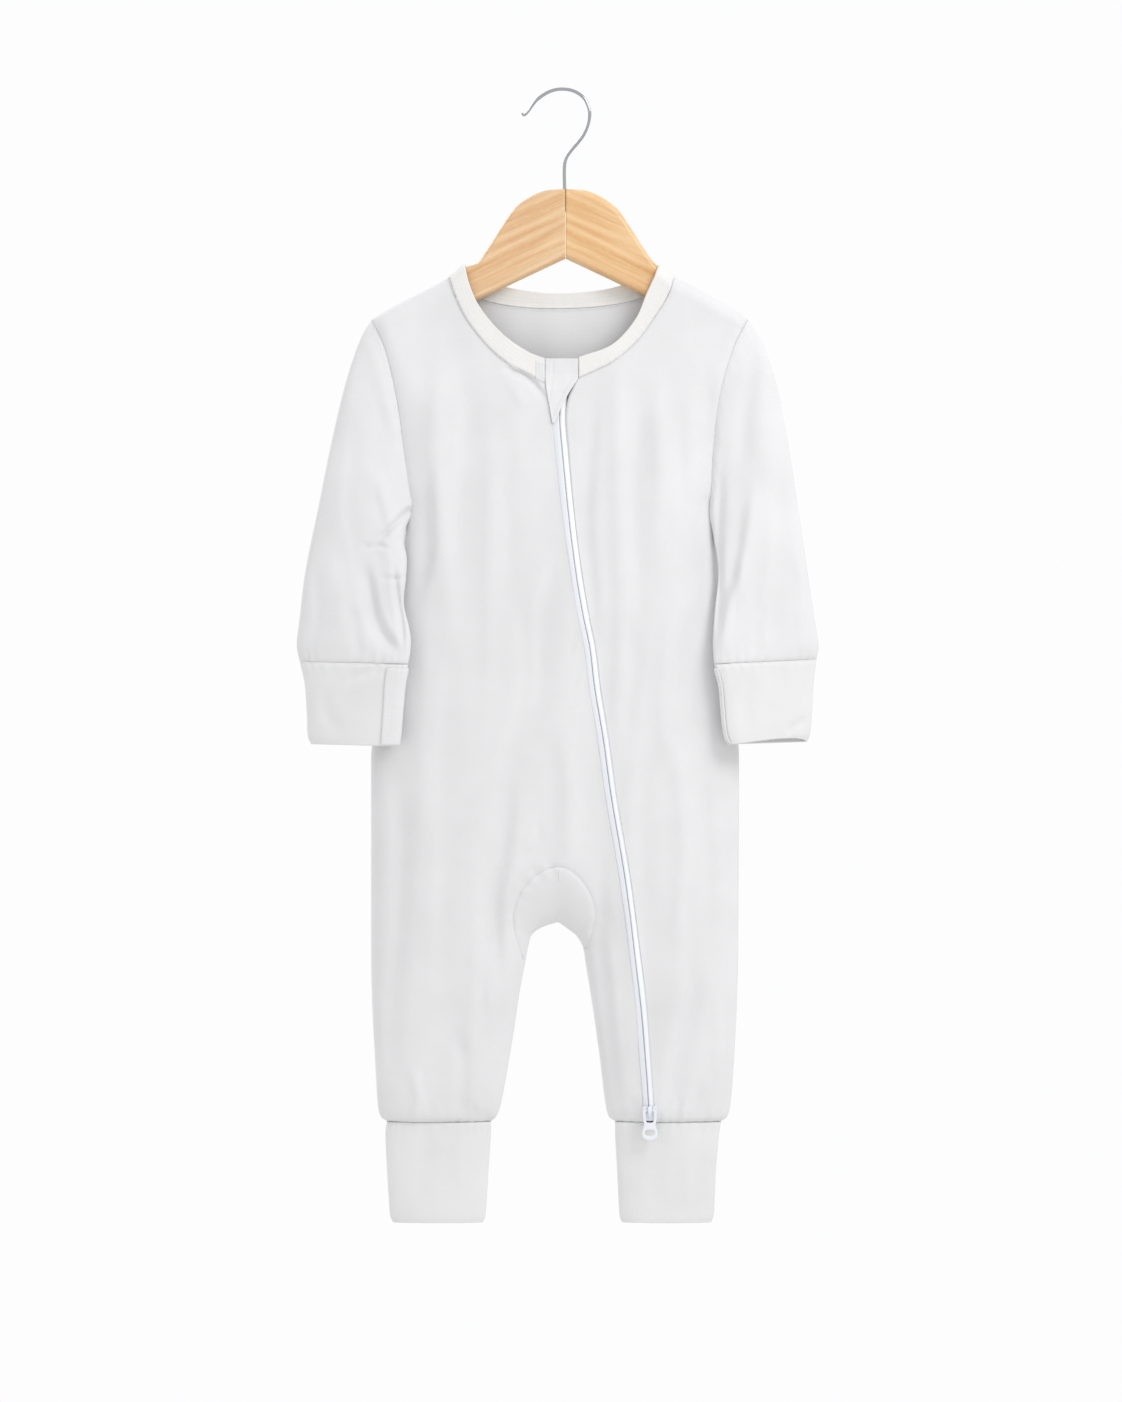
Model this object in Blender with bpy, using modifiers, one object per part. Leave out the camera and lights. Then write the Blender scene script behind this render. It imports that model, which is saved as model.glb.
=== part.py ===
"""Footless zip romper on a child's wooden hanger.

Frame: +Z up, +X the wearer's left (the viewer's right), the viewer stands at -Y. The origin is the inside
of the hook's crown, where a rail carries it. Every table is in millimetres from there; meshes are in metres.
The cloth is a wall between an outer and an inner face. Its front and back are one height field each,
y = -stand_off(x, z) and y = +stand_off(x, z), which meet at the silhouette.
"""

from collections import namedtuple

import bmesh
import bpy
import numpy as np
from mathutils import Matrix, Vector

MM = 0.001
RIGHT = -1
LEFT = 1
FRONT = -1
BACK = 1

# ---------------------------------------------------------------- driving dimensions, millimetres
CLOTH = 1.2  # jersey wall
KNIT = 1.8  # doubled cuff wall
SEAM_GAP = 0.3  # between two pieces at a seam
HALF_GAP = SEAM_GAP / 2
SHOULDER_ROUND = 8.5  # the cloth's radius where it folds over the hanger's arms
UNDERARM_Z = -258.5
CROTCH_TOP_Z = -480.5  # top of the gusset's arch
HEM_Z = -638.6  # where each leg meets its cuff
TAPE_HALF = 11.0  # one zip tape's width
TAPE_THICK = 0.8
TAPE_BEHIND = 0.8  # space between a panel's inside and the tape
COIL_WIDE = 4.2
COIL_THICK = 1.2
BOARD = 10.0  # the wood's thickness
WIRE = 1.05  # the hook wire's radius

# ---------------------------------------------------------------- outline tables
# Shoulder fold, from the neck out to the shoulder point: x, z.
SHOULDER = {
    RIGHT: [(-59.5, -107.3), (-68.8, -115.3), (-80.6, -122.1), (-95.5, -129.6), (-109.1, -137.0), (-116.6, -142.0)],
    LEFT: [(61.4, -107.3), (70.7, -115.3), (84.3, -122.1), (97.3, -129.6), (110.4, -137.0), (116.6, -142.0)],
}
# Armhole seam, from the shoulder point down to the underarm: z, x on the right, x on the left.
ARMHOLE = [
    (-142.0, -116.6, 116.6),
    (-160.6, -108.5, 107.3),
    (-191.6, -101.1, 98.6),
    (-222.6, -96.7, 94.9),
    (-240.0, -94.4, 93.9),
    (-258.5, -94.2, 93.9),
]
# The cloth's side: a guide outside the armhole, then the side seam down to the hem. z, right x, left x.
SIDE = [
    (-142.0, -116.6, 116.6),
    (-165.0, -112.5, 112.0),
    (-195.0, -107.5, 106.0),
    (-225.0, -103.0, 101.5),
    (-245.0, -98.5, 98.0),
    (-258.5, -94.2, 93.9),
    (-272.0, -95.6, 95.2),
    (-290.0, -98.5, 97.6),
    (-315.0, -102.5, 100.6),
    (-345.0, -107.5, 104.5),
    (-380.0, -113.0, 108.3),
    (-415.0, -117.2, 111.0),
    (-535.0, -117.2, 110.4),
    (-563.0, -116.6, 109.7),
    (-600.0, -114.7, 107.9),
    (-630.0, -112.8, 105.4),
    (-636.0, -111.0, 103.5),
    (-638.6, -107.3, 99.8),
]
# Inner leg silhouette, from the crotch down: z, right leg's x, left leg's x.
INSEAM = [
    (-515.2, -1.2, -1.2),
    (-517.7, -9.3, 2.5),
    (-520.2, -14.3, 5.8),
    (-524.0, -18.0, 10.5),
    (-531.3, -19.8, 14.3),
    (-542.5, -22.0, 16.1),
    (-557.4, -24.8, 18.6),
    (-582.2, -28.5, 22.3),
    (-600.8, -31.6, 24.8),
    (-630.0, -37.2, 28.5),
    (-636.0, -39.7, 30.4),
    (-638.6, -42.8, 34.1),
]
# Gusset seam: half widths and height of its arch, then its return to the inner leg.
Arch = namedtuple("Arch", "reach low_z returns")
ARCH_TOP_X = -1.2
ARCH_POWER = 1.12  # 1 is an ellipse; more is a little pointed
ARCH = {
    RIGHT: Arch(27.6, -512.1, [(-27.9, -521.4), (-24.9, -531.0), (-22.7, -538.5)]),
    LEFT: Arch(22.9, -510.9, [(19.8, -520.2), (17.6, -527.6), (15.9, -532.0)]),
}
# Slanting zip: z, the edge of the right panel, the line of the coil, the edge of the left panel.
ZIP = [
    (-178.0, -9.4, 1.0, 11.7),
    (-184.0, -8.6, 0.4, 8.1),
    (-193.0, -7.0, -0.3, 4.6),
    (-203.0, -5.4, -0.2, 3.5),
    (-222.6, -3.4, 1.3, 5.2),
    (-253.6, 0.0, 4.4, 8.1),
    (-290.8, 4.9, 8.8, 12.5),
    (-324.9, 10.5, 14.3, 18.0),
    (-346.6, 14.8, 18.6, 22.3),
    (-368.9, 17.6, 21.3, 25.0),
    (-402.4, 23.0, 26.7, 30.4),
    (-434.0, 27.3, 31.0, 34.7),
    (-489.8, 36.6, 40.3, 44.0),
    (-522.7, 41.0, 44.7, 48.4),
    (-567.3, 46.4, 50.1, 53.8),
    (-594.6, 48.4, 52.1, 55.8),
    (-626.8, 50.8, 54.5, 58.2),
    (-638.6, 51.4, 55.2, 58.9),
]
# Neckline seam and the band's free edge: x, z from the zip round to the shoulder fold; the back is whole.
NECK_SEAM = {
    RIGHT: [(-9.4, -181.0), (-27.3, -172.4), (-41.5, -161.8), (-57.0, -143.2), (-65.1, -127.1), (-68.8, -115.3)],
    LEFT: [(11.6, -178.6), (32.2, -168.6), (47.7, -155.6), (62.0, -135.8), (68.0, -124.9), (70.7, -115.3)],
}
NECK_EDGE = {
    RIGHT: [(-9.4, -166.2), (-20.0, -162.0), (-35.6, -151.0), (-49.5, -134.5), (-55.6, -121.5), (-59.5, -107.3)],
    LEFT: [(11.6, -165.5), (32.2, -157.5), (46.5, -142.0), (53.9, -125.0), (58.5, -115.0), (61.4, -107.3)],
}
BACK_SEAM = [(-68.8, -115.3), (-55.8, -126.0), (-34.1, -132.5), (-2.5, -134.6), (31.0, -132.5), (57.0, -126.0), (70.7, -115.3)]
BACK_EDGE = [(-59.5, -107.3), (-43.4, -117.6), (-27.9, -122.2), (-2.5, -124.9), (24.8, -123.0), (43.4, -117.8), (61.4, -107.3)]

# Half the depth of the hung cloth and how far its rounding reaches in from the side and from the inner leg.
DEPTH = [
    (-107.0, 8.5, 9.0, 40.0),
    (-142.0, 8.6, 9.0, 40.0),
    (-165.0, 9.4, 14.0, 40.0),
    (-195.0, 11.5, 28.0, 40.0),
    (-225.0, 14.0, 45.0, 40.0),
    (-258.0, 17.0, 60.0, 40.0),
    (-310.0, 19.5, 68.0, 40.0),
    (-420.0, 20.0, 68.0, 40.0),
    (-480.0, 19.5, 58.0, 40.0),
    (-530.0, 18.0, 46.0, 40.0),
    (-600.0, 16.0, 38.0, 34.0),
    (-630.0, 14.2, 34.0, 31.0),
    (-636.0, 12.8, 32.0, 30.0),
    (-638.6, 10.6, 30.0, 30.0),
]

# ---------------------------------------------------------------- largest folds
# A fold runs straight from one point to another; depth is positive for a trough, negative for a ridge.
Fold = namedtuple("Fold", "x1 z1 x2 z2 width depth")
FRONT_FOLDS = [
    Fold(-60.0, -160.0, -61.0, -315.0, 9.0, 1.6),
    Fold(-75.0, -170.0, -74.0, -300.0, 8.0, -1.4),
    Fold(-81.0, -240.0, -87.0, -310.0, 7.0, 2.2),
    Fold(-18.0, -330.0, -34.0, -440.0, 10.0, 1.8),
    Fold(-34.0, -440.0, -41.0, -550.0, 9.0, 2.8),
    Fold(-3.0, -290.0, -13.0, -380.0, 8.0, 1.4),
    Fold(4.0, -400.0, 5.0, -470.0, 8.0, -1.6),
    Fold(-100.0, -420.0, -105.0, -610.0, 8.0, 2.0),
    Fold(19.0, -190.0, 19.0, -320.0, 7.0, 1.6),
    Fold(35.0, -170.0, 35.0, -400.0, 7.0, -1.6),
    Fold(62.0, -190.0, 62.0, -290.0, 8.0, -1.8),
    Fold(90.0, -172.0, 82.0, -320.0, 8.0, 2.6),
    Fold(82.0, -320.0, 80.0, -405.0, 8.0, 2.0),
    Fold(56.0, -400.0, 52.0, -610.0, 9.0, 2.0),
    Fold(73.0, -410.0, 74.0, -540.0, 7.0, -1.8),
    Fold(82.0, -550.0, 66.0, -625.0, 7.0, 2.2),
    Fold(25.0, -480.0, 33.0, -625.0, 6.0, 1.6),
    Fold(-89.0, -610.0, -88.0, -636.0, 5.0, -1.4),
    Fold(-62.0, -590.0, -60.0, -634.0, 6.0, 1.5),
]
BACK_FOLDS = [
    Fold(-58.0, -165.0, -70.0, -330.0, 9.0, 1.8),
    Fold(62.0, -165.0, 72.0, -320.0, 9.0, 2.0),
    Fold(-30.0, -180.0, -26.0, -360.0, 10.0, -1.6),
    Fold(24.0, -200.0, 30.0, -420.0, 10.0, -1.8),
    Fold(-5.0, -340.0, -36.0, -520.0, 10.0, 2.4),
    Fold(44.0, -380.0, 40.0, -545.0, 10.0, 2.2),
    Fold(-88.0, -400.0, -92.0, -600.0, 9.0, 1.8),
    Fold(84.0, -420.0, 80.0, -610.0, 9.0, 2.0),
    Fold(-66.0, -540.0, -74.0, -630.0, 8.0, -1.6),
    Fold(62.0, -560.0, 66.0, -630.0, 8.0, -1.6),
]
SLEEVE_FOLDS = {
    RIGHT: [
        Fold(-119.0, -152.0, -100.0, -212.0, 5.0, -1.4),
        Fold(-112.0, -273.0, -96.0, -268.0, 3.0, 1.8),
        Fold(-118.0, -296.0, -104.0, -345.0, 6.0, 2.0),
        Fold(-98.0, -288.0, -99.0, -330.0, 3.5, 1.8),
        Fold(-139.0, -300.0, -141.0, -345.0, 7.0, -1.2),
    ],
    LEFT: [
        Fold(121.0, -254.0, 101.0, -330.0, 6.0, -1.8),
        Fold(100.0, -262.0, 98.0, -345.0, 4.0, 1.6),
        Fold(138.0, -250.0, 135.0, -345.0, 8.0, 1.4),
        Fold(118.0, -160.0, 112.0, -235.0, 6.0, 1.3),
    ],
}

# ---------------------------------------------------------------- sleeves and cuffs
# Each row is one ring of a hung, flattened tube: its outer and inner folds, its half depth, and how much of the
# armhole's curve it keeps.
Ring = namedtuple("Ring", "out_x out_z out_y in_x in_z in_y depth curve")
SLEEVE = {
    RIGHT: [
        Ring(-121.5, -149.5, -0.5, -94.9, -262.0, -1.0, 8.4, 0.85),
        Ring(-127.0, -162.5, -1.0, -95.35, -266.5, -2.3, 8.7, 0.60),
        Ring(-134.2, -186.0, -2.0, -95.9, -270.5, -4.0, 8.9, 0.35),
        Ring(-142.6, -222.6, -3.0, -95.0, -277.0, -7.5, 9.0, 0.12),
        Ring(-150.0, -259.8, -4.0, -94.2, -287.0, -11.0, 9.0, 0.0),
        Ring(-157.5, -297.0, -5.0, -94.6, -301.5, -13.5, 9.0, 0.0),
        Ring(-161.2, -326.7, -5.5, -93.4, -322.0, -17.0, 9.0, 0.0),
        Ring(-163.0, -343.5, -6.0, -91.8, -342.5, -20.5, 8.8, 0.0),
        Ring(-161.0, -353.9, -6.0, -93.5, -355.5, -22.0, 7.8, 0.0),
    ],
    LEFT: [
        Ring(121.5, -149.0, -0.5, 94.6, -262.0, -1.0, 8.4, 0.85),
        Ring(127.0, -160.0, -1.0, 95.0, -266.5, -2.3, 8.7, 0.60),
        Ring(135.0, -185.4, -2.0, 95.5, -271.0, -4.0, 8.9, 0.35),
        Ring(142.0, -222.6, -3.0, 95.6, -280.0, -7.0, 9.0, 0.12),
        Ring(147.6, -259.8, -4.0, 96.3, -290.8, -10.0, 9.0, 0.0),
        Ring(153.1, -297.0, -5.0, 96.1, -307.0, -12.5, 9.0, 0.0),
        Ring(157.5, -326.7, -5.5, 95.0, -327.0, -16.5, 9.0, 0.0),
        Ring(160.0, -343.5, -6.0, 94.2, -343.5, -20.0, 8.8, 0.0),
        Ring(158.7, -352.4, -6.0, 94.9, -355.4, -22.0, 7.8, 0.0),
    ],
}
SLEEVE_CUFF = {
    RIGHT: [
        Ring(-161.0, -354.2, -6.0, -93.5, -355.8, -22.0, 7.8, 0.0),
        Ring(-158.1, -367.7, -6.0, -96.1, -368.9, -21.5, 7.6, 0.0),
        Ring(-156.9, -383.8, -6.0, -97.3, -381.5, -21.0, 7.6, 0.0),
        Ring(-156.2, -399.3, -6.0, -98.8, -399.0, -21.0, 7.8, 0.0),
        Ring(-154.4, -404.9, -6.0, -99.8, -406.1, -21.0, 7.6, 0.0),
    ],
    LEFT: [
        Ring(158.7, -352.7, -6.0, 94.9, -355.7, -22.0, 7.8, 0.0),
        Ring(156.9, -367.7, -6.0, 98.6, -368.9, -21.5, 7.8, 0.0),
        Ring(156.2, -382.0, -6.0, 99.8, -381.5, -21.0, 8.0, 0.0),
        Ring(155.0, -397.5, -6.0, 101.5, -397.5, -21.0, 8.4, 0.0),
        Ring(153.1, -403.6, -6.0, 104.0, -405.0, -21.0, 8.4, 0.0),
    ],
}
MOUTH_LIFT = {RIGHT: 0.0, LEFT: 2.6}  # how much higher the cuff's front edge hangs than its back edge
# The mitten layer wraps the cuff from this angle on the front, round the inner fold, to the back.
MITTEN_FROM = {RIGHT: 128.0, LEFT: 160.0}
MITTEN_TO = 345.0
LEG_CUFF = {
    RIGHT: [
        Ring(-107.3, -638.75, 0.0, -42.8, -638.75, 0.0, 10.6, 0.0),
        Ring(-108.3, -647.3, 0.0, -42.8, -647.3, 0.0, 10.0, 0.0),
        Ring(-107.3, -669.0, 0.0, -44.3, -669.0, 0.0, 9.6, 0.0),
        Ring(-105.6, -695.0, 0.0, -45.9, -695.0, 0.0, 9.6, 0.0),
        Ring(-104.0, -701.2, 0.0, -47.4, -701.2, 0.0, 9.2, 0.0),
    ],
    LEFT: [
        Ring(99.8, -638.75, 0.0, 34.1, -638.75, 0.0, 10.6, 0.0),
        Ring(98.6, -647.3, 0.0, 34.1, -647.3, 0.0, 10.0, 0.0),
        Ring(96.7, -669.0, 0.0, 35.3, -669.0, 0.0, 9.6, 0.0),
        Ring(95.5, -695.0, 0.0, 36.6, -695.0, 0.0, 9.6, 0.0),
        Ring(94.0, -701.2, 0.0, 38.0, -701.2, 0.0, 9.2, 0.0),
    ],
}
FULLNESS = 0.75  # 1 is an elliptical ring; less has flatter faces and tighter folds

# ---------------------------------------------------------------- hanger, slider and pull
HANGER_X = 3.4  # the joint between the wood's two halves
WOOD_TOP = [(0.0, -60.8), (15.2, -62.6), (30.7, -71.9), (39.4, -83.6), (46.8, -95.2), (51.5, -102.2), (55.4, -107.2)]
WOOD_LOW = [(0.0, -104.2), (28.2, -117.4), (54.2, -130.0), (84.0, -145.5), (101.0, -152.0)]
WOOD_TIP = (107.5, -146.5)
SEAT = 2.1  # the wood's top under the cloth's fold: the wall and a gap of 0.3
SOCKET_DEEP = 16.0
HOOK = [
    (2.8, -75.0),
    (2.8, -60.8),
    (2.8, -46.5),
    (4.4, -40.5),
    (14.9, -26.7),
    (18.4, -14.9),
    (16.1, -6.3),
    (12.0, -2.0),
    (6.5, 0.5),
    (0.0, 1.05),
    (-5.0, 0.1),
    (-9.8, -2.2),
    (-14.3, -5.6),
    (-17.2, -9.2),
    (-19.6, -12.8),
    (-22.3, -15.2),
    (-23.8, -13.6),
]
SLIDER_X = 55.4
SLIDER_TOP = -628.1
SLIDER_LONG = 9.3
SLIDER_WIDE = 9.3
PLATE_THICK = 1.2
PIVOT_Z = -630.6
PIVOT_LIFT = 1.25  # the pull's pivot in front of the slider's plate
PULL_THICK = 1.1
PULL_END_Z = -648.8


# ---------------------------------------------------------------- curves through the tables
def hermite(at, knots, values, slopes):
    """Cubic through (knots, values) with the given slopes, held at its ends. Values may have columns."""
    q = np.clip(np.asarray(at, float), knots[0], knots[-1])
    k = np.clip(np.searchsorted(knots, q, side="right") - 1, 0, len(knots) - 2)
    h = knots[k + 1] - knots[k]
    s = (q - knots[k]) / h
    if values.ndim > 1:
        s = s[..., None]
        h = h[..., None]
    a = (1 + 2 * s) * (1 - s) ** 2
    b = s * (1 - s) ** 2 * h
    c = s * s * (3 - 2 * s)
    d = s * s * (s - 1) * h
    return a * values[k] + b * slopes[k] + c * values[k + 1] + d * slopes[k + 1]


def by_height(z, rows, column):
    """A table's column at height z, for rows that run downwards."""
    table = np.array(rows, float)[::-1]
    return monotone(z, table[:, 0], table[:, column])


def monotone(at, knots, values):
    """A monotone cubic, which never swings past its rows."""
    rise = np.diff(values) / np.diff(knots)
    product = rise[:-1] * rise[1:]
    total = np.where(product > 0, rise[:-1] + rise[1:], 1.0)
    inner = np.where(product > 0, 2 * product / total, 0.0)
    slopes = np.concatenate([rise[:1], inner, rise[-1:]])
    return hermite(at, knots, values, slopes)


def along(points, t):
    """Points at the fractions t of a smooth curve through the given points, by chord length."""
    p = np.array(points, float)
    steps = np.linalg.norm(np.diff(p, axis=0), axis=1)
    knots = np.concatenate([[0.0], np.cumsum(steps)]) / steps.sum()
    inner = (p[2:] - p[:-2]) / (knots[2:] - knots[:-2])[:, None]
    first = (p[1] - p[0]) / knots[1]
    last = (p[-1] - p[-2]) / (1 - knots[-2])
    return hermite(t, knots, p, np.vstack([first, inner, last]))


def cosine(n):
    """n + 1 fractions from 0 to 1, close together at both ends."""
    return (1 - np.cos(np.pi * np.arange(n + 1) / n)) / 2


def quarter(n):
    """n + 1 fractions from 0 to 1, close together at the start."""
    return 1 - np.cos(np.pi / 2 * np.arange(n + 1) / n)


# ---------------------------------------------------------------- the hung cloth as a height field
def side_x(side, z):
    return by_height(z, SIDE, 1 if side == RIGHT else 2)


INSEAM_Z = np.interp(np.linspace(0, len(INSEAM) - 1, 100), np.arange(len(INSEAM)), [row[0] for row in INSEAM])
INSEAM_X = {RIGHT: by_height(INSEAM_Z, INSEAM, 1), LEFT: by_height(INSEAM_Z, INSEAM, 2)}


def inseam_x(side, z):
    return np.interp(z, INSEAM_Z[::-1], INSEAM_X[side][::-1])


NECK_SLOPE = 0.8
NECK_MIDDLE = (SHOULDER[RIGHT][0][0] + SHOULDER[LEFT][0][0]) / 2
NECK_PEAK = (NECK_MIDDLE, SHOULDER[LEFT][0][1] + NECK_SLOPE * (SHOULDER[LEFT][0][0] - NECK_MIDDLE))
FOLD_LINE = np.array(SHOULDER[RIGHT][::-1] + [NECK_PEAK] + SHOULDER[LEFT])


def fold_line_z(x):
    """Height of the shoulder fold over x; towards the neck it goes on rising at nearly the same slope."""
    return monotone(x, FOLD_LINE[:, 0], FOLD_LINE[:, 1])


def crotch_line():
    """The inner leg silhouettes as one line, from the right hem up to the crotch and down to the left hem."""
    right = np.column_stack([INSEAM_X[RIGHT], INSEAM_Z])[::-1]
    left = np.column_stack([INSEAM_X[LEFT], INSEAM_Z])
    return np.vstack([right, left[1:]])


CROTCH_LINE = crotch_line()


def from_crotch(x, z):
    """Distance to the inner leg silhouette, and 0 in the gap between the legs."""
    p = np.stack([x, z], axis=-1)[..., None, :]
    a = CROTCH_LINE[:-1]
    d = np.diff(CROTCH_LINE, axis=0)
    t = np.clip(((p - a) * d).sum(-1) / (d * d).sum(-1), 0, 1)
    between = (z < INSEAM_Z[0]) & (x > inseam_x(RIGHT, z)) & (x < inseam_x(LEFT, z))
    return np.where(between, 0.0, np.linalg.norm(p - a - t[..., None] * d, axis=-1).min(-1))


def rounding(distance, reach):
    """0 at the silhouette and 1 past the reach, on a quarter of an ellipse."""
    t = np.clip(distance / reach, 0, 1)
    return np.sqrt(t * (2 - t))


def creases(x, z, folds):
    """Sum of the folds at (x, z): each a soft trough or ridge across its line, faded at both ends."""
    total = np.zeros_like(x)
    for f in folds:
        dx = f.x2 - f.x1
        dz = f.z2 - f.z1
        length = np.hypot(dx, dz)
        t = ((x - f.x1) * dx + (z - f.z1) * dz) / length**2
        across = ((x - f.x1) * dz - (z - f.z1) * dx) / length
        fade = np.clip((t + 0.15) / 0.4, 0, 1) * np.clip((1.15 - t) / 0.4, 0, 1)
        total += f.depth * fade * np.exp(-((across / f.width) ** 2))
    return total


def stand_off(x, z, face):
    """How far the cloth's outer face stands from the middle plane, on the front or on the back."""
    out = np.minimum(x - side_x(RIGHT, z), side_x(LEFT, z) - x)
    above = (fold_line_z(x) - z) * 0.88
    inner = from_crotch(x, z)
    half = by_height(z, DEPTH, 1)
    y = half * rounding(out, by_height(z, DEPTH, 2)) * rounding(inner, by_height(z, DEPTH, 3))
    y = y * rounding(above, SHOULDER_ROUND)
    folds = FRONT_FOLDS if face == FRONT else BACK_FOLDS
    calm = rounding(np.minimum(np.minimum(out, inner), above - 6), 22.0) * np.clip((-z - 150) / 40, 0, 1)
    return np.maximum(y - creases(x, z, folds) * calm, 0)


def skin(x, z, face, rim=None):
    """Points of the cloth's outer face and its outward normals, both as (..., 3) arrays.

    Where rim is true, the point lies on the silhouette and its normal stays in the middle plane.
    """
    x = np.asarray(x, float)
    z = np.minimum(z, fold_line_z(x) - 0.03)
    step = 0.02
    gx = (stand_off(x + step, z, face) - stand_off(x - step, z, face)) / (2 * step)
    gz = (stand_off(x, z + step, face) - stand_off(x, z - step, face)) / (2 * step)
    y = face * (stand_off(x, z, face) + HALF_GAP)
    ny = np.full_like(x, float(face))
    if rim is not None:
        ny = np.where(rim, 0.0, ny)
        y = np.where(rim, face * HALF_GAP, y)
    normal = np.stack([-gx, ny, -gz], axis=-1)
    normal /= np.linalg.norm(normal, axis=-1, keepdims=True)
    return np.stack([x, y, z], axis=-1), normal


# ---------------------------------------------------------------- walls from faces
def put(name, mesh, origin=(0.0, 0.0, 0.0)):
    """Adds a mesh in millimetres as an object of the romper, with its origin at the given point."""
    mesh.transform(mathutils_scale(MM, origin))
    mesh.update()
    thing = bpy.data.objects.new(name, mesh)
    thing.location = [MM * c for c in origin]
    ROMPER.objects.link(thing)
    return thing


def mathutils_scale(factor, origin):
    return Matrix.Scale(factor, 4) @ Matrix.Translation(-Vector(origin))


def wall(name, outer, inner, faces):
    """One closed wall: the outer face, the inner face, and a rim along every open edge."""
    outer = outer.reshape(-1, 3)
    inner = inner.reshape(-1, 3)
    count = len(outer)
    faces = [tuple(int(v) for v in f) for f in faces]
    used = {}
    for f in faces:
        for a, b in zip(f, f[1:] + f[:1]):
            used[(a, b)] = True
    rims = [(b, a, a + count, b + count) for a, b in used if (b, a) not in used]
    inside = [tuple(v + count for v in reversed(f)) for f in faces]
    mesh = bpy.data.meshes.new(name)
    mesh.from_pydata(np.vstack([outer, inner]).tolist(), [], faces + inside + rims)
    mesh.validate()
    return put(name, mesh)


def grid_faces(index, wrap=False):
    """Quads over a grid of point numbers; wrap joins the last column to the first."""
    if wrap:
        index = np.column_stack([index, index[:, 0]])
    a = index[:-1, :-1]
    b = index[:-1, 1:]
    c = index[1:, 1:]
    d = index[1:, :-1]
    return np.stack([a, b, c, d], axis=-1).reshape(-1, 4)


def facing(outer, faces, normals):
    """The faces, turned if needed so that they face along the normals."""
    f = np.array(faces)
    p = outer.reshape(-1, 3)[f]
    turn = np.cross(p[:, 2] - p[:, 0], p[:, 3] - p[:, 1])
    agree = (turn * normals.reshape(-1, 3)[f].mean(axis=1)).sum()
    return f if agree > 0 else f[:, ::-1]


# ---------------------------------------------------------------- body panels
COLUMNS = 12  # from the side seam to the gusset's column
INNER_COLUMNS = 5  # from the gusset's column to the zip
LEFT_COLUMNS = 11
SHOULDER_COLUMNS = 6
# Rows from the shoulder down to the underarm, closest where the cloth folds over the hanger.
ARM_STEPS = np.array([0.0, 0.013, 0.04, 0.085, 0.16, 0.27, 0.4, 0.54, 0.68, 0.81, 0.91, 0.975, 1.0])
ARM_ROWS = len(ARM_STEPS) - 1
CHEST_ROWS = 8  # from the underarm down to the gusset
ARCH_STEPS = 5
LEG_ROWS = [-540.2, -560.0, -586.0, -610.0, -627.0, -635.0, HEM_Z + HALF_GAP]


def arch_points(side):
    """The gusset seam from its top to its end at the inner leg."""
    arch = ARCH[side]
    a = np.radians(np.linspace(0, 90, ARCH_STEPS + 1))
    x = ARCH_TOP_X + side * arch.reach * np.sin(a) ** ARCH_POWER
    z = arch.low_z + (CROTCH_TOP_Z - arch.low_z) * np.cos(a) ** ARCH_POWER
    return np.vstack([np.column_stack([x, z]), arch.returns])


def beside(points, side, offset):
    """The line moved sideways in its own plane, away from the legs' gap for a positive offset."""
    run = np.gradient(points, axis=0)
    if np.allclose(points[0, 0], ARCH_TOP_X):
        run[0] = (side, 0.0)
    run /= np.linalg.norm(run, axis=1, keepdims=True)
    away = np.column_stack([-run[:, 1], run[:, 0]]) * side
    return points + offset * away


def armhole_points(side):
    """The armhole seam, close at both ends, where the cloth rounds fastest."""
    column = 1 if side == RIGHT else 2
    line = [(row[column], row[0]) for row in ARMHOLE]
    return along(line, ARM_STEPS)


def patch(top, bottom, left, right, u, v):
    """Rows that blend the top line into the bottom one; the side lines' own curves fade towards the middle."""
    u = u[None, :, None]
    v = v[:, None, None]
    bow_left = left[:, None] - (1 - v) * top[0] - v * bottom[0]
    bow_right = right[:, None] - (1 - v) * top[-1] - v * bottom[-1]
    return (1 - v) * top + v * bottom + (1 - u) ** 3 * bow_left + u**3 * bow_right


def neck_fractions(n):
    """Fractions from the shoulder fold to the zip, close together over the fold."""
    return (np.arange(n + 1) / n) ** (4.3 / np.log(n))


def back_fractions(n):
    """Fractions of the back neckline, close together over both shoulder folds."""
    c = cosine(n)
    low = 0.5 * (2 * np.minimum(c, 1 - c)) ** 1.2
    return np.where(c < 0.5, low, 1 - low)


def toward_neck(points, offset):
    """A neckline moved in its plane towards the head opening."""
    centre = np.array([1.0, -125.0])
    run = np.gradient(points, axis=0)
    away = np.column_stack([-run[:, 1], run[:, 0]])
    away /= np.linalg.norm(away, axis=1, keepdims=True)
    sign = np.sign((away * (centre - points)).sum(axis=1, keepdims=True))
    return points + offset * sign * away


def neck_line(side, n):
    """The neckline seam from the shoulder fold to the zip."""
    return along(NECK_SEAM[side][::-1], neck_fractions(n))


def shoulder_line(side, n):
    """The shoulder fold from the shoulder point up to the neckline."""
    points = along(SHOULDER[side][:0:-1], np.linspace(0, 1, n + 1))
    points[:, 1] = fold_line_z(points[:, 0])
    return points


def top_line(side, shoulder, neck):
    """A front panel's top: up the shoulder fold, then down the neckline."""
    fold = shoulder_line(side, shoulder)
    seam = toward_neck(neck_line(side, neck), -HALF_GAP)
    seam[0] = fold[-1]
    return np.vstack([fold, seam[1:]])


def arm_line(side, offset):
    """The armhole seam moved out towards the sleeve, its ends kept on the silhouette."""
    points = armhole_points(side)
    run = np.gradient(points, axis=0)
    run /= np.linalg.norm(run, axis=1, keepdims=True)
    away = np.column_stack([run[:, 1], -run[:, 0]]) * side * -1
    return points + offset * away


def zip_x(z, column):
    return by_height(z, ZIP, column)


def chest_heights():
    return np.linspace(UNDERARM_Z, CROTCH_TOP_Z, CHEST_ROWS + 1)[1:]


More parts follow.
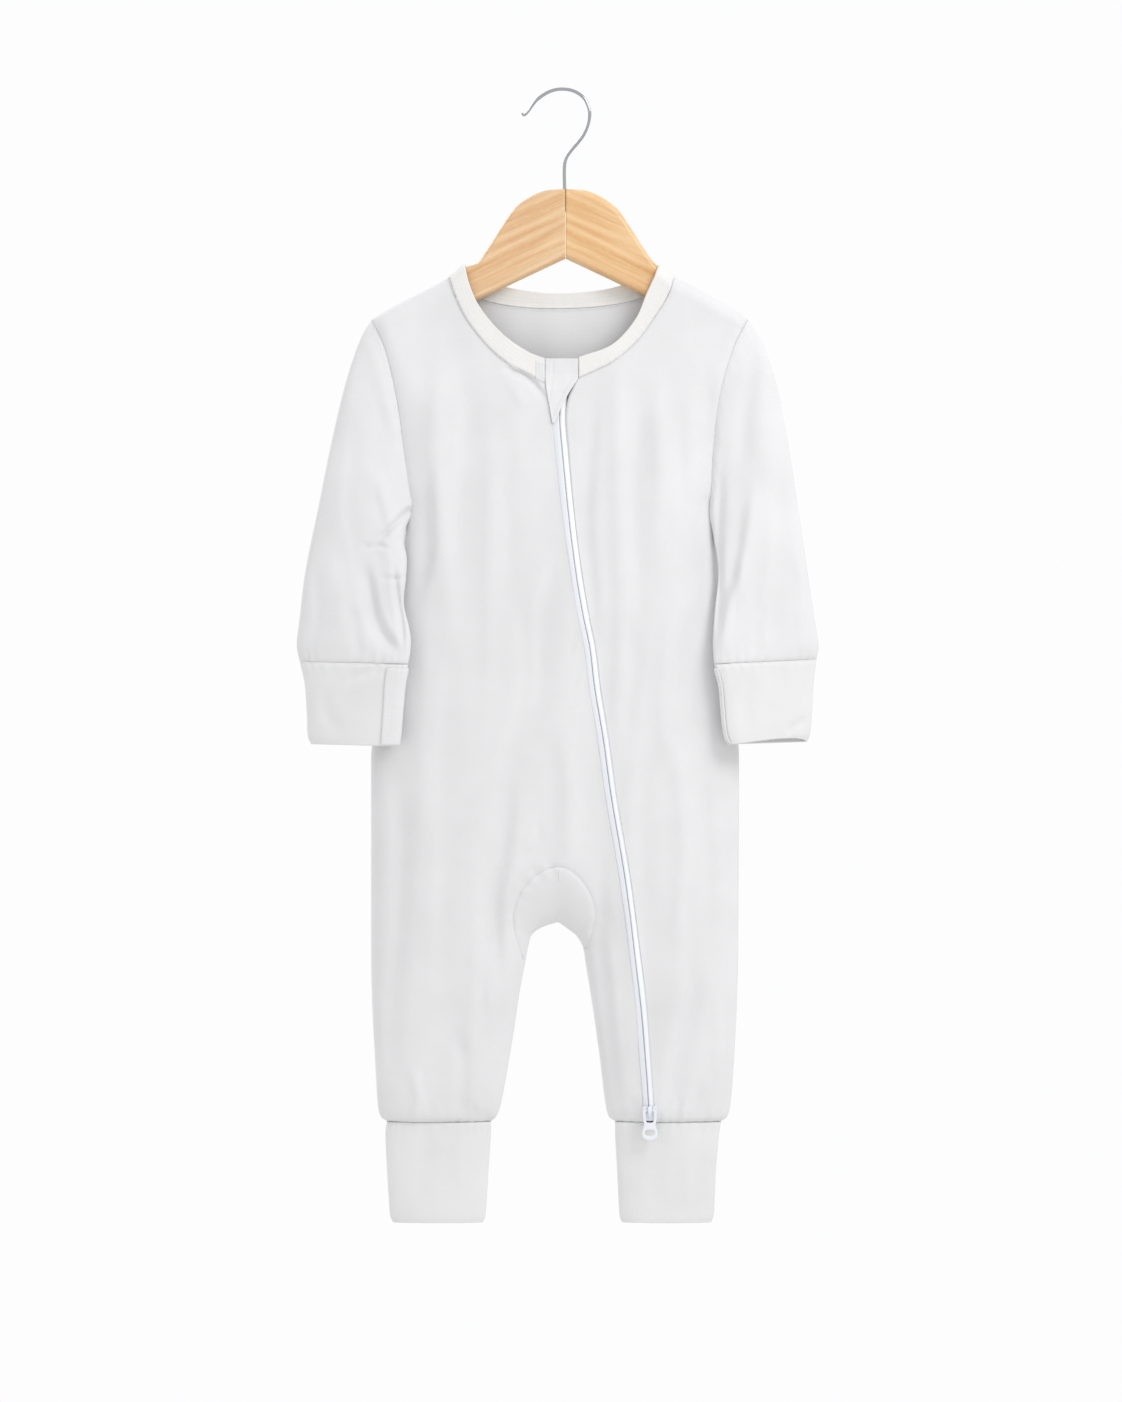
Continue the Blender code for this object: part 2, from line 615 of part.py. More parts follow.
def leg_block(slit, guide_x, u):
    """Rows between the slit's points and the guide line, at the slit's own heights; u runs from the slit."""
    z = slit[:, 1]
    x = slit[:, 0][:, None] + (guide_x(z) - slit[:, 0])[:, None] * u
    return np.stack([x, np.repeat(z[:, None], len(u), axis=1)], axis=-1)


def slit_points(side):
    """The panels' edge along the gusset's seam, then down the inner leg to the hem."""
    seam = beside(arch_points(side), side, HALF_GAP)[1:]
    z = np.array(LEG_ROWS)
    if side == LEFT:
        z = np.concatenate([[-533.6], z])
    leg = np.column_stack([inseam_x(side, z), z])
    return np.vstack([seam, leg])


def eased_underarm(points, normal, face):
    """Turns the outward normals near each underarm: forward along the front crease, then down at its end."""
    for side in (RIGHT, LEFT):
        edge = arm_line(side, -HALF_GAP)
        down = (side * 0.38, 0.0, -0.92)
        turns = [(-3, 0.35, down), (-2, 0.8, down), (-1, 1.0, down)]
        if face == FRONT:
            turns = [(-4, 0.4, (0, -1, 0)), (-3, 0.75, (0, -1, -0.3)), (-2, 0.9, (0, -0.75, -0.65)), (-1, 1.0, down)]
        for number, share, aim in turns:
            here = np.isclose(points, edge[number]).all(axis=-1)
            turned = (1 - share) * normal[here] + share * np.array(aim)
            normal[here] = turned / np.linalg.norm(turned, axis=-1, keepdims=True)


def cloth(name, points, faces, face, rims):
    """A panel of the hung cloth from its (x, z) points."""
    outer, normal = skin(points[:, 0], points[:, 1], face, rims)
    eased_underarm(points, normal, face)
    level = np.isclose(points[:, 1], HEM_Z + HALF_GAP)
    normal[level, 2] = 0.0
    normal /= np.linalg.norm(normal, axis=-1, keepdims=True)
    return wall(name, outer, outer - CLOTH * normal, facing(outer, faces, normal))


def on_silhouette(points):
    """True where a point lies on the side seam, the inner leg or the shoulder fold."""
    x = points[:, 0]
    z = points[:, 1]
    out = np.minimum(x - side_x(RIGHT, z), side_x(LEFT, z) - x)
    above = fold_line_z(x) - z
    return (out < 0.3) | (from_crotch(x, z) < 0.3) | (above < 0.3)


def chest_grid(top, arm, zip_column, u, v, side):
    """A front panel's rows from the top line to the gusset's top, from the side seam to the zip."""
    z_end = top[-1, 1]
    zip_z = z_end + (UNDERARM_Z - z_end) * v
    zip_line = np.column_stack([zip_x(zip_z, zip_column), zip_z])
    zip_line[0] = top[-1]
    bottom_x = arm[-1, 0] + (zip_line[-1, 0] - arm[-1, 0]) * u
    bottom = np.column_stack([bottom_x, np.full(len(u), UNDERARM_Z)])
    upper = patch(top, bottom, arm, zip_line, u, v)
    z = chest_heights()
    x0 = side_x(side, z)
    lower_x = x0[:, None] + (zip_x(z, zip_column) - x0)[:, None] * u
    lower = np.stack([lower_x, np.repeat(z[:, None], len(u), axis=1)], axis=-1)
    return np.vstack([upper, lower])


def slit_panel(name, upper, right_block, left_block, face):
    """A panel whose columns part at the gusset: rows above it, then one block of rows for each leg."""
    rows, cols = upper.shape[:2]
    start = rows * cols
    index = np.arange(start).reshape(rows, cols)
    middle = COLUMNS
    right_index = start + np.arange(right_block[:, :, 0].size).reshape(right_block.shape[:2])
    left_index = right_index.max() + 1 + np.arange(left_block[:, :, 0].size).reshape(left_block.shape[:2])
    right_rows = np.vstack([index[-1, middle::-1], right_index])
    left_rows = np.vstack([index[-1, middle:], left_index])
    faces = np.vstack([grid_faces(index), grid_faces(right_rows)[:, ::-1], grid_faces(left_rows)])
    points = np.vstack([upper.reshape(-1, 2), right_block.reshape(-1, 2), left_block.reshape(-1, 2)])
    return cloth(name, points, faces, face, on_silhouette(points))


def front_right():
    u_side = cosine(COLUMNS)
    u_zip = quarter(INNER_COLUMNS)
    part = (ARCH_TOP_X - side_x(RIGHT, CROTCH_TOP_Z)) / (zip_x(CROTCH_TOP_Z, 1) - side_x(RIGHT, CROTCH_TOP_Z))
    u = np.concatenate([u_side * part, part + (1 - part) * u_zip[1:]])
    v = ARM_STEPS
    top = top_line(RIGHT, SHOULDER_COLUMNS, len(u) - 1 - SHOULDER_COLUMNS)
    upper = chest_grid(top, arm_line(RIGHT, -HALF_GAP), 1, u, v, RIGHT)
    upper[-1, COLUMNS, 1] += HALF_GAP
    right_block = leg_block(slit_points(RIGHT), lambda z: side_x(RIGHT, z), u_side)
    left_block = leg_block(slit_points(LEFT), lambda z: zip_x(z, 1), u_zip)
    return slit_panel("front_right", upper, right_block, left_block, FRONT)


def front_left():
    u = quarter(LEFT_COLUMNS)
    v = ARM_STEPS
    top = top_line(LEFT, SHOULDER_COLUMNS - 1, LEFT_COLUMNS + 1 - SHOULDER_COLUMNS)
    upper = chest_grid(top, arm_line(LEFT, -HALF_GAP), 3, u, v, LEFT)
    z = np.concatenate([np.linspace(CROTCH_TOP_Z, LEG_ROWS[1], 4)[1:], LEG_ROWS[2:]])
    x0 = side_x(LEFT, z)
    x = x0[:, None] + (zip_x(z, 3) - x0)[:, None] * u
    legs = np.stack([x, np.repeat(z[:, None], len(u), axis=1)], axis=-1)
    points = np.vstack([upper, legs])
    index = np.arange(points[:, :, 0].size).reshape(points.shape[:2])
    flat = points.reshape(-1, 2)
    return cloth("front_left", flat, grid_faces(index), FRONT, on_silhouette(flat))


def back_top(n):
    """The back's top line: right shoulder, back neckline, left shoulder."""
    right = shoulder_line(RIGHT, SHOULDER_COLUMNS)
    left = shoulder_line(LEFT, SHOULDER_COLUMNS)[::-1]
    seam = toward_neck(along(BACK_SEAM, back_fractions(n)), -HALF_GAP)
    return np.vstack([right, seam[1:-1], left])


def back():
    u_side = cosine(COLUMNS)
    level = side_x(RIGHT, CROTCH_TOP_Z)
    part = (ARCH_TOP_X - level) / (side_x(LEFT, CROTCH_TOP_Z) - level)
    u = np.concatenate([u_side * part, part + (1 - part) * u_side[1:]])
    top = back_top(len(u) - 1 - 2 * SHOULDER_COLUMNS)
    v = ARM_STEPS
    right = arm_line(RIGHT, -HALF_GAP)
    left = arm_line(LEFT, -HALF_GAP)
    bottom_x = right[-1, 0] + (left[-1, 0] - right[-1, 0]) * u
    bottom = np.column_stack([bottom_x, np.full(len(u), UNDERARM_Z)])
    upper = patch(top, bottom, right, left, u, v)
    z = chest_heights()
    x0 = side_x(RIGHT, z)
    lower_x = x0[:, None] + (side_x(LEFT, z) - x0)[:, None] * u
    lower = np.stack([lower_x, np.repeat(z[:, None], len(u), axis=1)], axis=-1)
    upper = np.vstack([upper, lower])
    upper[-1, COLUMNS, 1] += HALF_GAP
    right_block = leg_block(slit_points(RIGHT), lambda z: side_x(RIGHT, z), u_side)
    left_block = leg_block(slit_points(LEFT), lambda z: side_x(LEFT, z), u_side)
    return slit_panel("back", upper, right_block, left_block, BACK)


def crotch_gusset():
    """The gusset: from the front seam under the crotch to the back seam."""
    right = beside(arch_points(RIGHT), RIGHT, -HALF_GAP)
    left = beside(arch_points(LEFT), LEFT, -HALF_GAP)
    seam = np.vstack([right[::-1], left[1:]])
    low = []
    for side, points in ((RIGHT, right), (LEFT, left)):
        z = np.linspace(INSEAM_Z[0], points[-1, 1], 200)
        line = np.column_stack([inseam_x(side, z), z])
        run = np.concatenate([[0.0], np.cumsum(np.linalg.norm(np.diff(line, axis=0), axis=1))])
        at = np.linspace(0, run[-1], len(points))
        low.append(np.column_stack([np.interp(at, run, line[:, 0]), np.interp(at, run, z)]))
    edge = np.vstack([low[0][::-1], low[1][1:]])
    outer = []
    normals = []
    for v in (-1.0, -0.7, -0.35, 0.0, 0.35, 0.7, 1.0):
        face = FRONT if v <= 0 else BACK
        p = edge + (seam - edge) * v * v
        flat = np.full(len(p), v == 0)
        points, normal = skin(p[:, 0], p[:, 1], face, flat)
        if v == 0:
            points[:, 1] = 0.0
        outer.append(points)
        normals.append(normal)
    outer = np.array(outer)
    normals = np.array(normals)
    index = np.arange(outer[:, :, 0].size).reshape(outer.shape[:2])
    faces = facing(outer, grid_faces(index), normals)
    return wall("crotch_gusset", outer, outer - CLOTH * normals, faces)


# ---------------------------------------------------------------- neck band and zip
def neck_band():
    """The band round the neckline, from one side of the zip over both shoulders to the other side."""
    n_right = COLUMNS + INNER_COLUMNS - SHOULDER_COLUMNS
    n_left = LEFT_COLUMNS + 1 - SHOULDER_COLUMNS
    n_back = 2 * COLUMNS - 2 * SHOULDER_COLUMNS
    runs = [
        (NECK_SEAM[RIGHT], NECK_EDGE[RIGHT], 1 - neck_fractions(n_right)[::-1], FRONT),
        (BACK_SEAM, BACK_EDGE, back_fractions(n_back), BACK),
        (NECK_SEAM[LEFT][::-1], NECK_EDGE[LEFT][::-1], neck_fractions(n_left), FRONT),
    ]
    outer = []
    normals = []
    for number, (seam_line, edge_line, t, face) in enumerate(runs):
        seam = toward_neck(along(seam_line, t), HALF_GAP)
        edge = along(edge_line, t)
        if number == 1:
            seam = seam[1:-1]
            edge = edge[1:-1]
        p = seam[:, None] + (edge - seam)[:, None] * np.array([0.0, 0.5, 1.0])[None, :, None]
        flat = p.reshape(-1, 2)
        fold = np.zeros(p.shape[:2], bool)
        if number == 0:
            fold[-1] = True
        if number == 2:
            fold[0] = True
        points, normal = skin(flat[:, 0], flat[:, 1], face, fold.reshape(-1))
        points = points.reshape(p.shape[:2] + (3,))
        points[fold, 1] = 0.0
        outer.append(points)
        normals.append(normal.reshape(points.shape))
    outer = np.concatenate(outer)
    normals = np.concatenate(normals)
    index = np.arange(outer[:, :, 0].size).reshape(outer.shape[:2])
    faces = facing(outer, grid_faces(index), normals)
    return wall("neck_band", outer, outer - CLOTH * normals, faces)


def strip(name, z, low_x, high_x, columns, outer_in, inner_in):
    """A strip of the zip between two lines of x, its faces set in from the panels' outer face."""
    u = np.linspace(0, 1, columns + 1)
    x = low_x[:, None] + (high_x - low_x)[:, None] * u
    zz = np.repeat(z[:, None], len(u), axis=1)
    points, normal = skin(x, zz, FRONT)
    index = np.arange(x.size).reshape(x.shape)
    outer = points - np.asarray(outer_in)[..., None] * normal
    inner = points - np.asarray(inner_in)[..., None] * normal
    return wall(name, outer, inner, facing(points, grid_faces(index), normal))


TAPE_IN = CLOTH + TAPE_BEHIND


def zip_heights(top, low):
    rows = [-184.0, -196.0, -208.0, -222.0, -240.0]
    rows += list(np.concatenate([[UNDERARM_Z], chest_heights()]))
    rows += list(np.linspace(CROTCH_TOP_Z, LEG_ROWS[1], 4)[1:]) + LEG_ROWS[2:6]
    rows = np.array([z for z in rows if low < z < top])
    return np.concatenate([[top], rows, [low]])


def zip_pieces():
    z = zip_heights(-186.0, -637.4)
    coil = zip_x(z, 2)
    tape = TAPE_HALF - 2.0 * np.clip((z + 200) / 15, 0, 1)
    strip("zip_tape_right", z, coil - tape, coil - HALF_GAP, 3, TAPE_IN, TAPE_IN + TAPE_THICK)
    strip("zip_tape_left", z, coil + HALF_GAP, coil + tape, 3, TAPE_IN, TAPE_IN + TAPE_THICK)
    z = zip_heights(-188.0, SLIDER_TOP + SEAM_GAP)
    coil = zip_x(z, 2)
    low = TAPE_IN - SEAM_GAP
    strip("zip_coil", z, coil - COIL_WIDE / 2, coil + COIL_WIDE / 2, 2, low - COIL_THICK, low)


def zip_guard():
    """The guard folded over the zip's top: level with the neck band, then proud of the coil, to a point."""
    rows = [(-166.4, -9.05, 11.25), (-172.0, -9.05, 11.2), (-177.6, -8.95, 10.6), (-184.0, -8.1, 7.0)]
    rows += [(-191.0, -6.8, 3.4), (-198.0, -5.6, 0.2), (-204.0, -4.6, -2.3), (-206.5, -4.2, -3.4)]
    z, low, high = np.array(rows).T
    lift = 1.7 * np.clip((-176.0 - z) / 10.0, 0, 1)
    strip("zip_guard", z, low, high, 4, -lift[:, None], CLOTH - lift[:, None])


# ---------------------------------------------------------------- sleeves and cuffs
AROUND = 2 * ARM_ROWS
HALF_ROUND = np.arccos(1 - 2 * ARM_STEPS)
ANGLES = np.concatenate([HALF_ROUND, 2 * np.pi - HALF_ROUND[-2:0:-1]])


def ring_points(ring, side):
    """One flattened ring, from its outer fold over the front to the inner fold and back behind."""
    a = ANGLES
    c = (1 - np.cos(a)) / 2
    out = np.array([ring.out_x, ring.out_y, ring.out_z])
    inn = np.array([ring.in_x, ring.in_y, ring.in_z])
    p = out + c[:, None] * (inn - out)
    p[:, 1] -= ring.depth * np.sign(np.sin(a)) * np.abs(np.sin(a)) ** FULLNESS
    if ring.curve:
        seam = armhole_points(side)
        chord = seam[0] + ARM_STEPS[:, None] * (seam[-1] - seam[0])
        bow = seam - chord
        bow = np.vstack([bow, bow[-2:0:-1]])
        p[:, 0] += ring.curve * bow[:, 0]
        p[:, 2] += ring.curve * bow[:, 1]
    return p


def grid_normals(grid):
    """Outward normals of a closed-round grid of rings."""
    around = np.roll(grid, -1, axis=1) - np.roll(grid, 1, axis=1)
    down = np.gradient(grid, axis=0)
    normal = np.cross(around, down)
    normal /= np.linalg.norm(normal, axis=-1, keepdims=True)
    away = grid - grid.mean(axis=1, keepdims=True)
    if (normal * away).sum() < 0:
        normal = -normal
    return normal


def tube(name, grid, thick, first_inner=None):
    """A closed-round wall through rings, with its end rims level."""
    normal = grid_normals(grid)
    for row in (0, -1):
        normal[row, :, 2] = 0.0
        normal[row] /= np.linalg.norm(normal[row], axis=-1, keepdims=True)
    inner = grid - thick * normal
    if first_inner is not None:
        inner[0] = first_inner
    index = np.arange(grid[:, :, 0].size).reshape(grid.shape[:2])
    return wall(name, grid, inner, facing(grid, grid_faces(index, wrap=True), normal))


def through(rings, steps):
    """Rings at the given steps of a smooth curve through the table's rings, point by point."""
    keys = np.array(rings)
    knots = np.arange(len(keys), dtype=float)
    slopes = np.gradient(keys, axis=0)
    flat = hermite(np.asarray(steps, float), knots, keys.reshape(len(keys), -1), slopes.reshape(len(keys), -1))
    return flat.reshape(len(steps), -1, 3)


def armhole_ring(side):
    """The sleeve's first ring: the panels' edge moved out over the seam's gap, outer and inner."""
    seam = arm_line(side, -HALF_GAP)
    shift = arm_line(side, HALF_GAP) - seam
    outer = []
    inner = []
    for face, part in ((FRONT, slice(0, None)), (BACK, slice(-2, 0, -1))):
        p = seam[part]
        points, normal = skin(p[:, 0], p[:, 1], face, on_silhouette(p))
        eased_underarm(p, normal, face)
        inside = points - CLOTH * normal
        move = np.column_stack([shift[part][:, 0], np.zeros(len(p)), shift[part][:, 1]])
        outer.append(points + move)
        inner.append(inside + move)
    outer = np.vstack(outer)
    inner = np.vstack(inner)
    inner[ARM_ROWS] = outer[ARM_ROWS] + CLOTH * np.array([side * 0.38, 0.0, 0.92])
    inner[ARM_ROWS + 1] = outer[ARM_ROWS + 1] + CLOTH * np.array([side * 0.2, -0.5, 0.84])
    outer[[0, ARM_ROWS], 1] = 0.0
    inner[[0, ARM_ROWS], 1] = 0.0
    return outer, inner


SLEEVE_STEPS = [0, 1, 2, 3, 4, 5, 6, 7, 7.6, 8.3, 9]


def sleeve(side, name):
    first, first_inner = armhole_ring(side)
    keys = [first] + [ring_points(ring, side) for ring in SLEEVE[side]]
    grid = through(keys, SLEEVE_STEPS)
    front = np.zeros(AROUND)
    front[1:ARM_ROWS] = 1.0
    fade = np.clip((np.array(SLEEVE_STEPS) - 0.5) / 1.5, 0, 1) * np.clip((9 - np.array(SLEEVE_STEPS)) / 1.0, 0, 1)
    dent = creases(grid[:, :, 0], grid[:, :, 2], SLEEVE_FOLDS[side])
    grid[:, :, 1] += dent * front * fade[:, None]
    return tube(name, grid, CLOTH, first_inner=first_inner)


def cuff_grid(rings, side, steps, lift=0.0):
    grid = through([ring_points(ring, side) for ring in rings], steps)
    front = np.clip(np.sin(ANGLES), 0, None) * (1 + np.cos(ANGLES)) / 2
    grid[-1, :, 2] += lift * 1.6 * front
    grid[-2, :, 2] += lift * 0.8 * front
    return grid


CUFF_STEPS = [0, 0.5, 1.5, 3, 4]


def sleeve_cuff(side, name):
    grid = cuff_grid(SLEEVE_CUFF[side], side, CUFF_STEPS, MOUTH_LIFT[side])
    return tube(name, grid, KNIT)


def mitten_fold(side, name):
    """The fold-over layer: the cuff's own points moved out, from part of the front round to the back."""
    grid = cuff_grid(SLEEVE_CUFF[side], side, CUFF_STEPS)
    normal = grid_normals(grid)
    first = int(np.searchsorted(ANGLES, np.radians(MITTEN_FROM[side]) - 0.01))
    last = int(np.searchsorted(ANGLES, np.radians(MITTEN_TO) + 0.01)) - 1
    rows = slice(1, len(CUFF_STEPS))
    base = grid[rows, first : last + 1]
    out = normal[rows, first : last + 1]
    out[-1, :, 2] = 0.0
    out /= np.linalg.norm(out, axis=-1, keepdims=True)
    index = np.arange(base[:, :, 0].size).reshape(base.shape[:2])
    outer = base + (SEAM_GAP + CLOTH) * out
    inner = base + SEAM_GAP * out
    return wall(name, outer, inner, facing(outer, grid_faces(index), out))


def leg_cuff(side, name):
    return tube(name, cuff_grid(LEG_CUFF[side], side, CUFF_STEPS), KNIT)


# ---------------------------------------------------------------- hanger
def mesh_of(curve_object, name):
    """The evaluated curve as a mesh with its caps welded; the curve object is removed."""
    bpy.context.view_layer.update()
    graph = bpy.context.evaluated_depsgraph_get()
    mesh = bpy.data.meshes.new_from_object(curve_object.evaluated_get(graph))
    mesh.name = name
    welded = bmesh.new()
    welded.from_mesh(mesh)
    bmesh.ops.remove_doubles(welded, verts=welded.verts, dist=0.001)
    bmesh.ops.recalc_face_normals(welded, faces=welded.faces)
    welded.to_mesh(mesh)
    welded.free()
    bpy.data.objects.remove(curve_object)
    return mesh


def flat_shape(name, outlines, thick):
    """A flat outline with holes in the XZ plane, given in millimetres, as a mesh of the given thickness."""
    curve = bpy.data.curves.new(name, "CURVE")
    curve.dimensions = "2D"
    curve.fill_mode = "BOTH"
    curve.extrude = thick / 2
    for outline in outlines:
        spline = curve.splines.new("POLY")
        spline.points.add(len(outline) - 1)
        for point, (x, z) in zip(spline.points, outline):
            point.co = (x, z, 0.0, 1.0)
        spline.use_cyclic_u = True
    thing = bpy.data.objects.new(name, curve)
    ROMPER.objects.link(thing)
    mesh = mesh_of(thing, name)
    for vertex in mesh.vertices:
        x, z, y = vertex.co
        vertex.co = (x, -y, z)
    mesh.update()
    return mesh


def arm_outline(side):
    """One wooden half: its shown top, its top under the cloth's fold, its tip and its lower edge."""
    fold = np.array(SHOULDER[side])
    under = np.column_stack([(fold[:-1, 0] - HANGER_X) * side, fold[:-1, 1] - SEAT / 0.88])
    top = along(np.vstack([WOOD_TOP, under]), np.linspace(0, 1, 22))
    low = along(WOOD_LOW[::-1], np.linspace(0, 1, 5))
    outline = np.vstack([top, [WOOD_TIP], low])
    outline[0, 0] = HALF_GAP
    outline[-1, 0] = HALF_GAP
    return [(HANGER_X + side * x, z) for x, z in outline]


def hanger_arm(side, name):
    mesh = flat_shape(name, [arm_outline(side)], BOARD)
    arm = put(name, mesh)
    round_edge = arm.modifiers.new("rounded edges", "BEVEL")
    round_edge.width = 4.2 * MM
    round_edge.segments = 3
    round_edge.limit_method = "ANGLE"
    round_edge.angle_limit = np.radians(50)
    socket = arm.modifiers.new("hook socket", "BOOLEAN")
    socket.object = SOCKET
    return arm


def hook_socket():
    """Cutter: the hole that the hook's stem is set in."""
    top = -60.0
    bpy.ops.mesh.primitive_cylinder_add(
        vertices=16,
        radius=(WIRE + SEAM_GAP) * MM,
        depth=(SOCKET_DEEP + 2) * MM,
        location=(HOOK[0][0] * MM, 0.0, (top - (SOCKET_DEEP - 2) / 2) * MM),
    )
    cutter = bpy.context.object
    cutter.name = "hook_socket"
    for owner in list(cutter.users_collection):
        owner.objects.unlink(cutter)
    CUTTERS.objects.link(cutter)
    cutter.hide_render = True
    cutter.display_type = "WIRE"
    return cutter


def hanger_hook():
    """The hook: round wire set in the wood, bent over the rail, drawn thinner to a turned-up end."""
    curve = bpy.data.curves.new("hanger_hook", "CURVE")
    curve.dimensions = "3D"
    curve.bevel_depth = WIRE * MM
    curve.bevel_resolution = 2
    curve.use_fill_caps = True
    t = np.linspace(0, 1, 38)
    points = along(HOOK, t)
    spline = curve.splines.new("POLY")
    spline.points.add(len(points) - 1)
    for point, (x, z), at in zip(spline.points, points, t):
        point.co = (x * MM, 0.0, z * MM, 1.0)
        point.radius = 1.0 - 0.3 * np.clip((at - 0.86) / 0.08, 0, 1)
    thing = bpy.data.objects.new("hanger_hook", curve)
    ROMPER.objects.link(thing)
    return thing


# ---------------------------------------------------------------- slider and pull tab
def front_y(x, z):
    return float(skin(np.array([x]), np.array([z]), FRONT)[0][0, 1])


def box(name, low, high, bevel=0.0):
    """A box between two corners in millimetres, as a mesh object with rounded edges."""
    low = np.array(low)
    high = np.array(high)
    block = bmesh.new()
    bmesh.ops.create_cube(block, size=1.0)
    for vertex in block.verts:
        vertex.co = [(low[i] + high[i]) / 2 + vertex.co[i] * (high[i] - low[i]) for i in range(3)]
    if bevel:
        bmesh.ops.bevel(block, geom=block.edges, offset=bevel, segments=2, profile=0.6, affect="EDGES")
    mesh = bpy.data.meshes.new(name)
    block.to_mesh(mesh)
    block.free()
    return mesh


def join_to(thing, name, mesh):
    """Adds a solid to a thing by a Boolean union with a hidden helper."""
    helper = bpy.data.objects.new(name, mesh)
    mesh.transform(mathutils_scale(MM, (0, 0, 0)))
    CUTTERS.objects.link(helper)
    helper.hide_render = True
    helper.display_type = "WIRE"
    union = thing.modifiers.new(name, "BOOLEAN")
    union.operation = "UNION"
    union.object = helper


PLATE_BACK = front_y(SLIDER_X, SLIDER_TOP) - SEAM_GAP
PLATE_FRONT = PLATE_BACK - PLATE_THICK
PIVOT_Y = PLATE_FRONT - PIVOT_LIFT


def zip_slider():
    """The slider: a plate over the coil, a keel down to the tapes, and the bridge that holds the pull."""
    low_z = SLIDER_TOP - SLIDER_LONG
    half = SLIDER_WIDE / 2
    plate = put(
        "zip_slider",
        box("plate", (SLIDER_X - half, PLATE_FRONT, low_z), (SLIDER_X + half, PLATE_BACK, SLIDER_TOP), 0.5),
    )
    keel_back = front_y(SLIDER_X, SLIDER_TOP - 2) + TAPE_IN - SEAM_GAP
    join_to(
        plate,
        "keel",
        box("keel", (SLIDER_X - 2.6, PLATE_FRONT + 0.4, low_z + 2.6), (SLIDER_X + 2.6, keel_back, SLIDER_TOP - 0.6), 0.3),
    )
    outline = [
        (PLATE_FRONT + 0.4, SLIDER_TOP - 0.4),
        (PIVOT_Y - 1.5, SLIDER_TOP - 0.7),
        (PIVOT_Y - 2.2, SLIDER_TOP - 1.6),
        (PIVOT_Y - 2.2, SLIDER_TOP - 4.4),
        (PLATE_FRONT + 0.4, SLIDER_TOP - 8.0),
        (PLATE_FRONT + 0.4, SLIDER_TOP - 6.4),
        (PIVOT_Y - 1.1, SLIDER_TOP - 3.9),
        (PIVOT_Y - 1.1, SLIDER_TOP - 1.4),
        (PLATE_FRONT + 0.4, SLIDER_TOP - 1.3),
    ]
    bridge = flat_shape("bridge", [[(y, z) for y, z in outline]], 2.2)
    for vertex in bridge.vertices:
        y, x, z = vertex.co
        vertex.co = (SLIDER_X - x, y, z)
    bridge.update()
    turned = bmesh.new()
    turned.from_mesh(bridge)
    bmesh.ops.recalc_face_normals(turned, faces=turned.faces)
    turned.to_mesh(bridge)
    turned.free()
    join_to(plate, "bridge", bridge)
    return plate


def rounded(half_wide, top, low, radius, steps=3):
    """A rounded rectangle about the slider's line, as (x, z) points."""
    corners = [(half_wide, top, 0), (-half_wide, top, 90), (-half_wide, low, 180), (half_wide, low, 270)]
    points = []
    for x, z, start in corners:
        cx = x - np.sign(x) * radius
        cz = z - radius if z == top else z + radius
        for k in range(steps + 1):
            a = np.radians(start + 90 * k / steps)
            points.append((SLIDER_X + cx + radius * np.cos(a), cz + radius * np.sin(a)))
    return points


def pull_tab():
    """The pull: a loop round the bridge, a neck, and a rounded tab with an oval hole."""
    half = PULL_THICK / 2
    top = PIVOT_Z + half
    left = [(3.9, top - 0.3), (4.3, top - 1.6), (4.1, -636.5), (3.5, -639.5), (3.9, -642.0), (4.8, -644.6)]
    left += [(4.7, -646.6), (3.6, -648.0), (2.0, -648.6)]
    right = [(-x, z) for x, z in reversed(left)]
    outline = [(3.2, top)] + left + [(0.0, PULL_END_Z)] + right + [(-3.2, top)]
    outline = [(SLIDER_X + x, z) for x, z in outline]
    window = rounded(2.4, PIVOT_Z - half, -638.4, 0.9)
    hole = rounded(3.2, -642.7, -646.4, 1.6)
    mesh = flat_shape("pull_tab", [outline, window, hole], PULL_THICK)
    for vertex in mesh.vertices:
        vertex.co.y += PIVOT_Y
    return put("pull_tab", mesh, origin=(SLIDER_X, PIVOT_Y, PIVOT_Z))


# ---------------------------------------------------------------- materials
Finish = namedtuple("Finish", "red green blue roughness metallic")
FINISHES = {
    "jersey": Finish(0.90, 0.90, 0.90, 0.85, 0.0),
    "rib": Finish(0.91, 0.90, 0.88, 0.88, 0.0),
    "tape": Finish(0.88, 0.90, 0.94, 0.8, 0.0),
    "coil": Finish(0.90, 0.92, 0.96, 0.4, 0.0),
    "painted": Finish(0.88, 0.92, 0.96, 0.3, 0.0),
    "maple": Finish(0.72, 0.48, 0.24, 0.45, 0.0),
    "chromed": Finish(0.80, 0.80, 0.80, 0.12, 1.0),
}
FINISH_OF = {
    "sleeve_cuff": "rib",
    "leg_cuff": "rib",
    "mitten": "rib",
    "neck": "rib",
    "zip_tape": "tape",
    "zip_coil": "coil",
    "zip_slider": "painted",
    "pull": "painted",
    "hanger_arm": "maple",
    "hanger_hook": "chromed",
}


def colour(thing):
    """Gives an object its own Principled material."""
    key = next((value for start, value in FINISH_OF.items() if thing.name.startswith(start)), "jersey")
    finish = FINISHES[key]
    material = bpy.data.materials.new(f"{thing.name} {key}")
    material.use_nodes = True
    shader = material.node_tree.nodes["Principled BSDF"]
    shader.inputs["Base Color"].default_value = (finish.red, finish.green, finish.blue, 1.0)
    shader.inputs["Roughness"].default_value = finish.roughness
    shader.inputs["Metallic"].default_value = finish.metallic
    thing.data.materials.clear()
    thing.data.materials.append(material)


# ---------------------------------------------------------------- the object
for old in list(bpy.data.objects):
    bpy.data.objects.remove(old)
ROMPER = bpy.data.collections.new("footless_zip_romper_on_hanger")
CUTTERS = bpy.data.collections.new("cutters")
bpy.context.scene.collection.children.link(ROMPER)
bpy.context.scene.collection.children.link(CUTTERS)
CUTTERS.hide_render = True

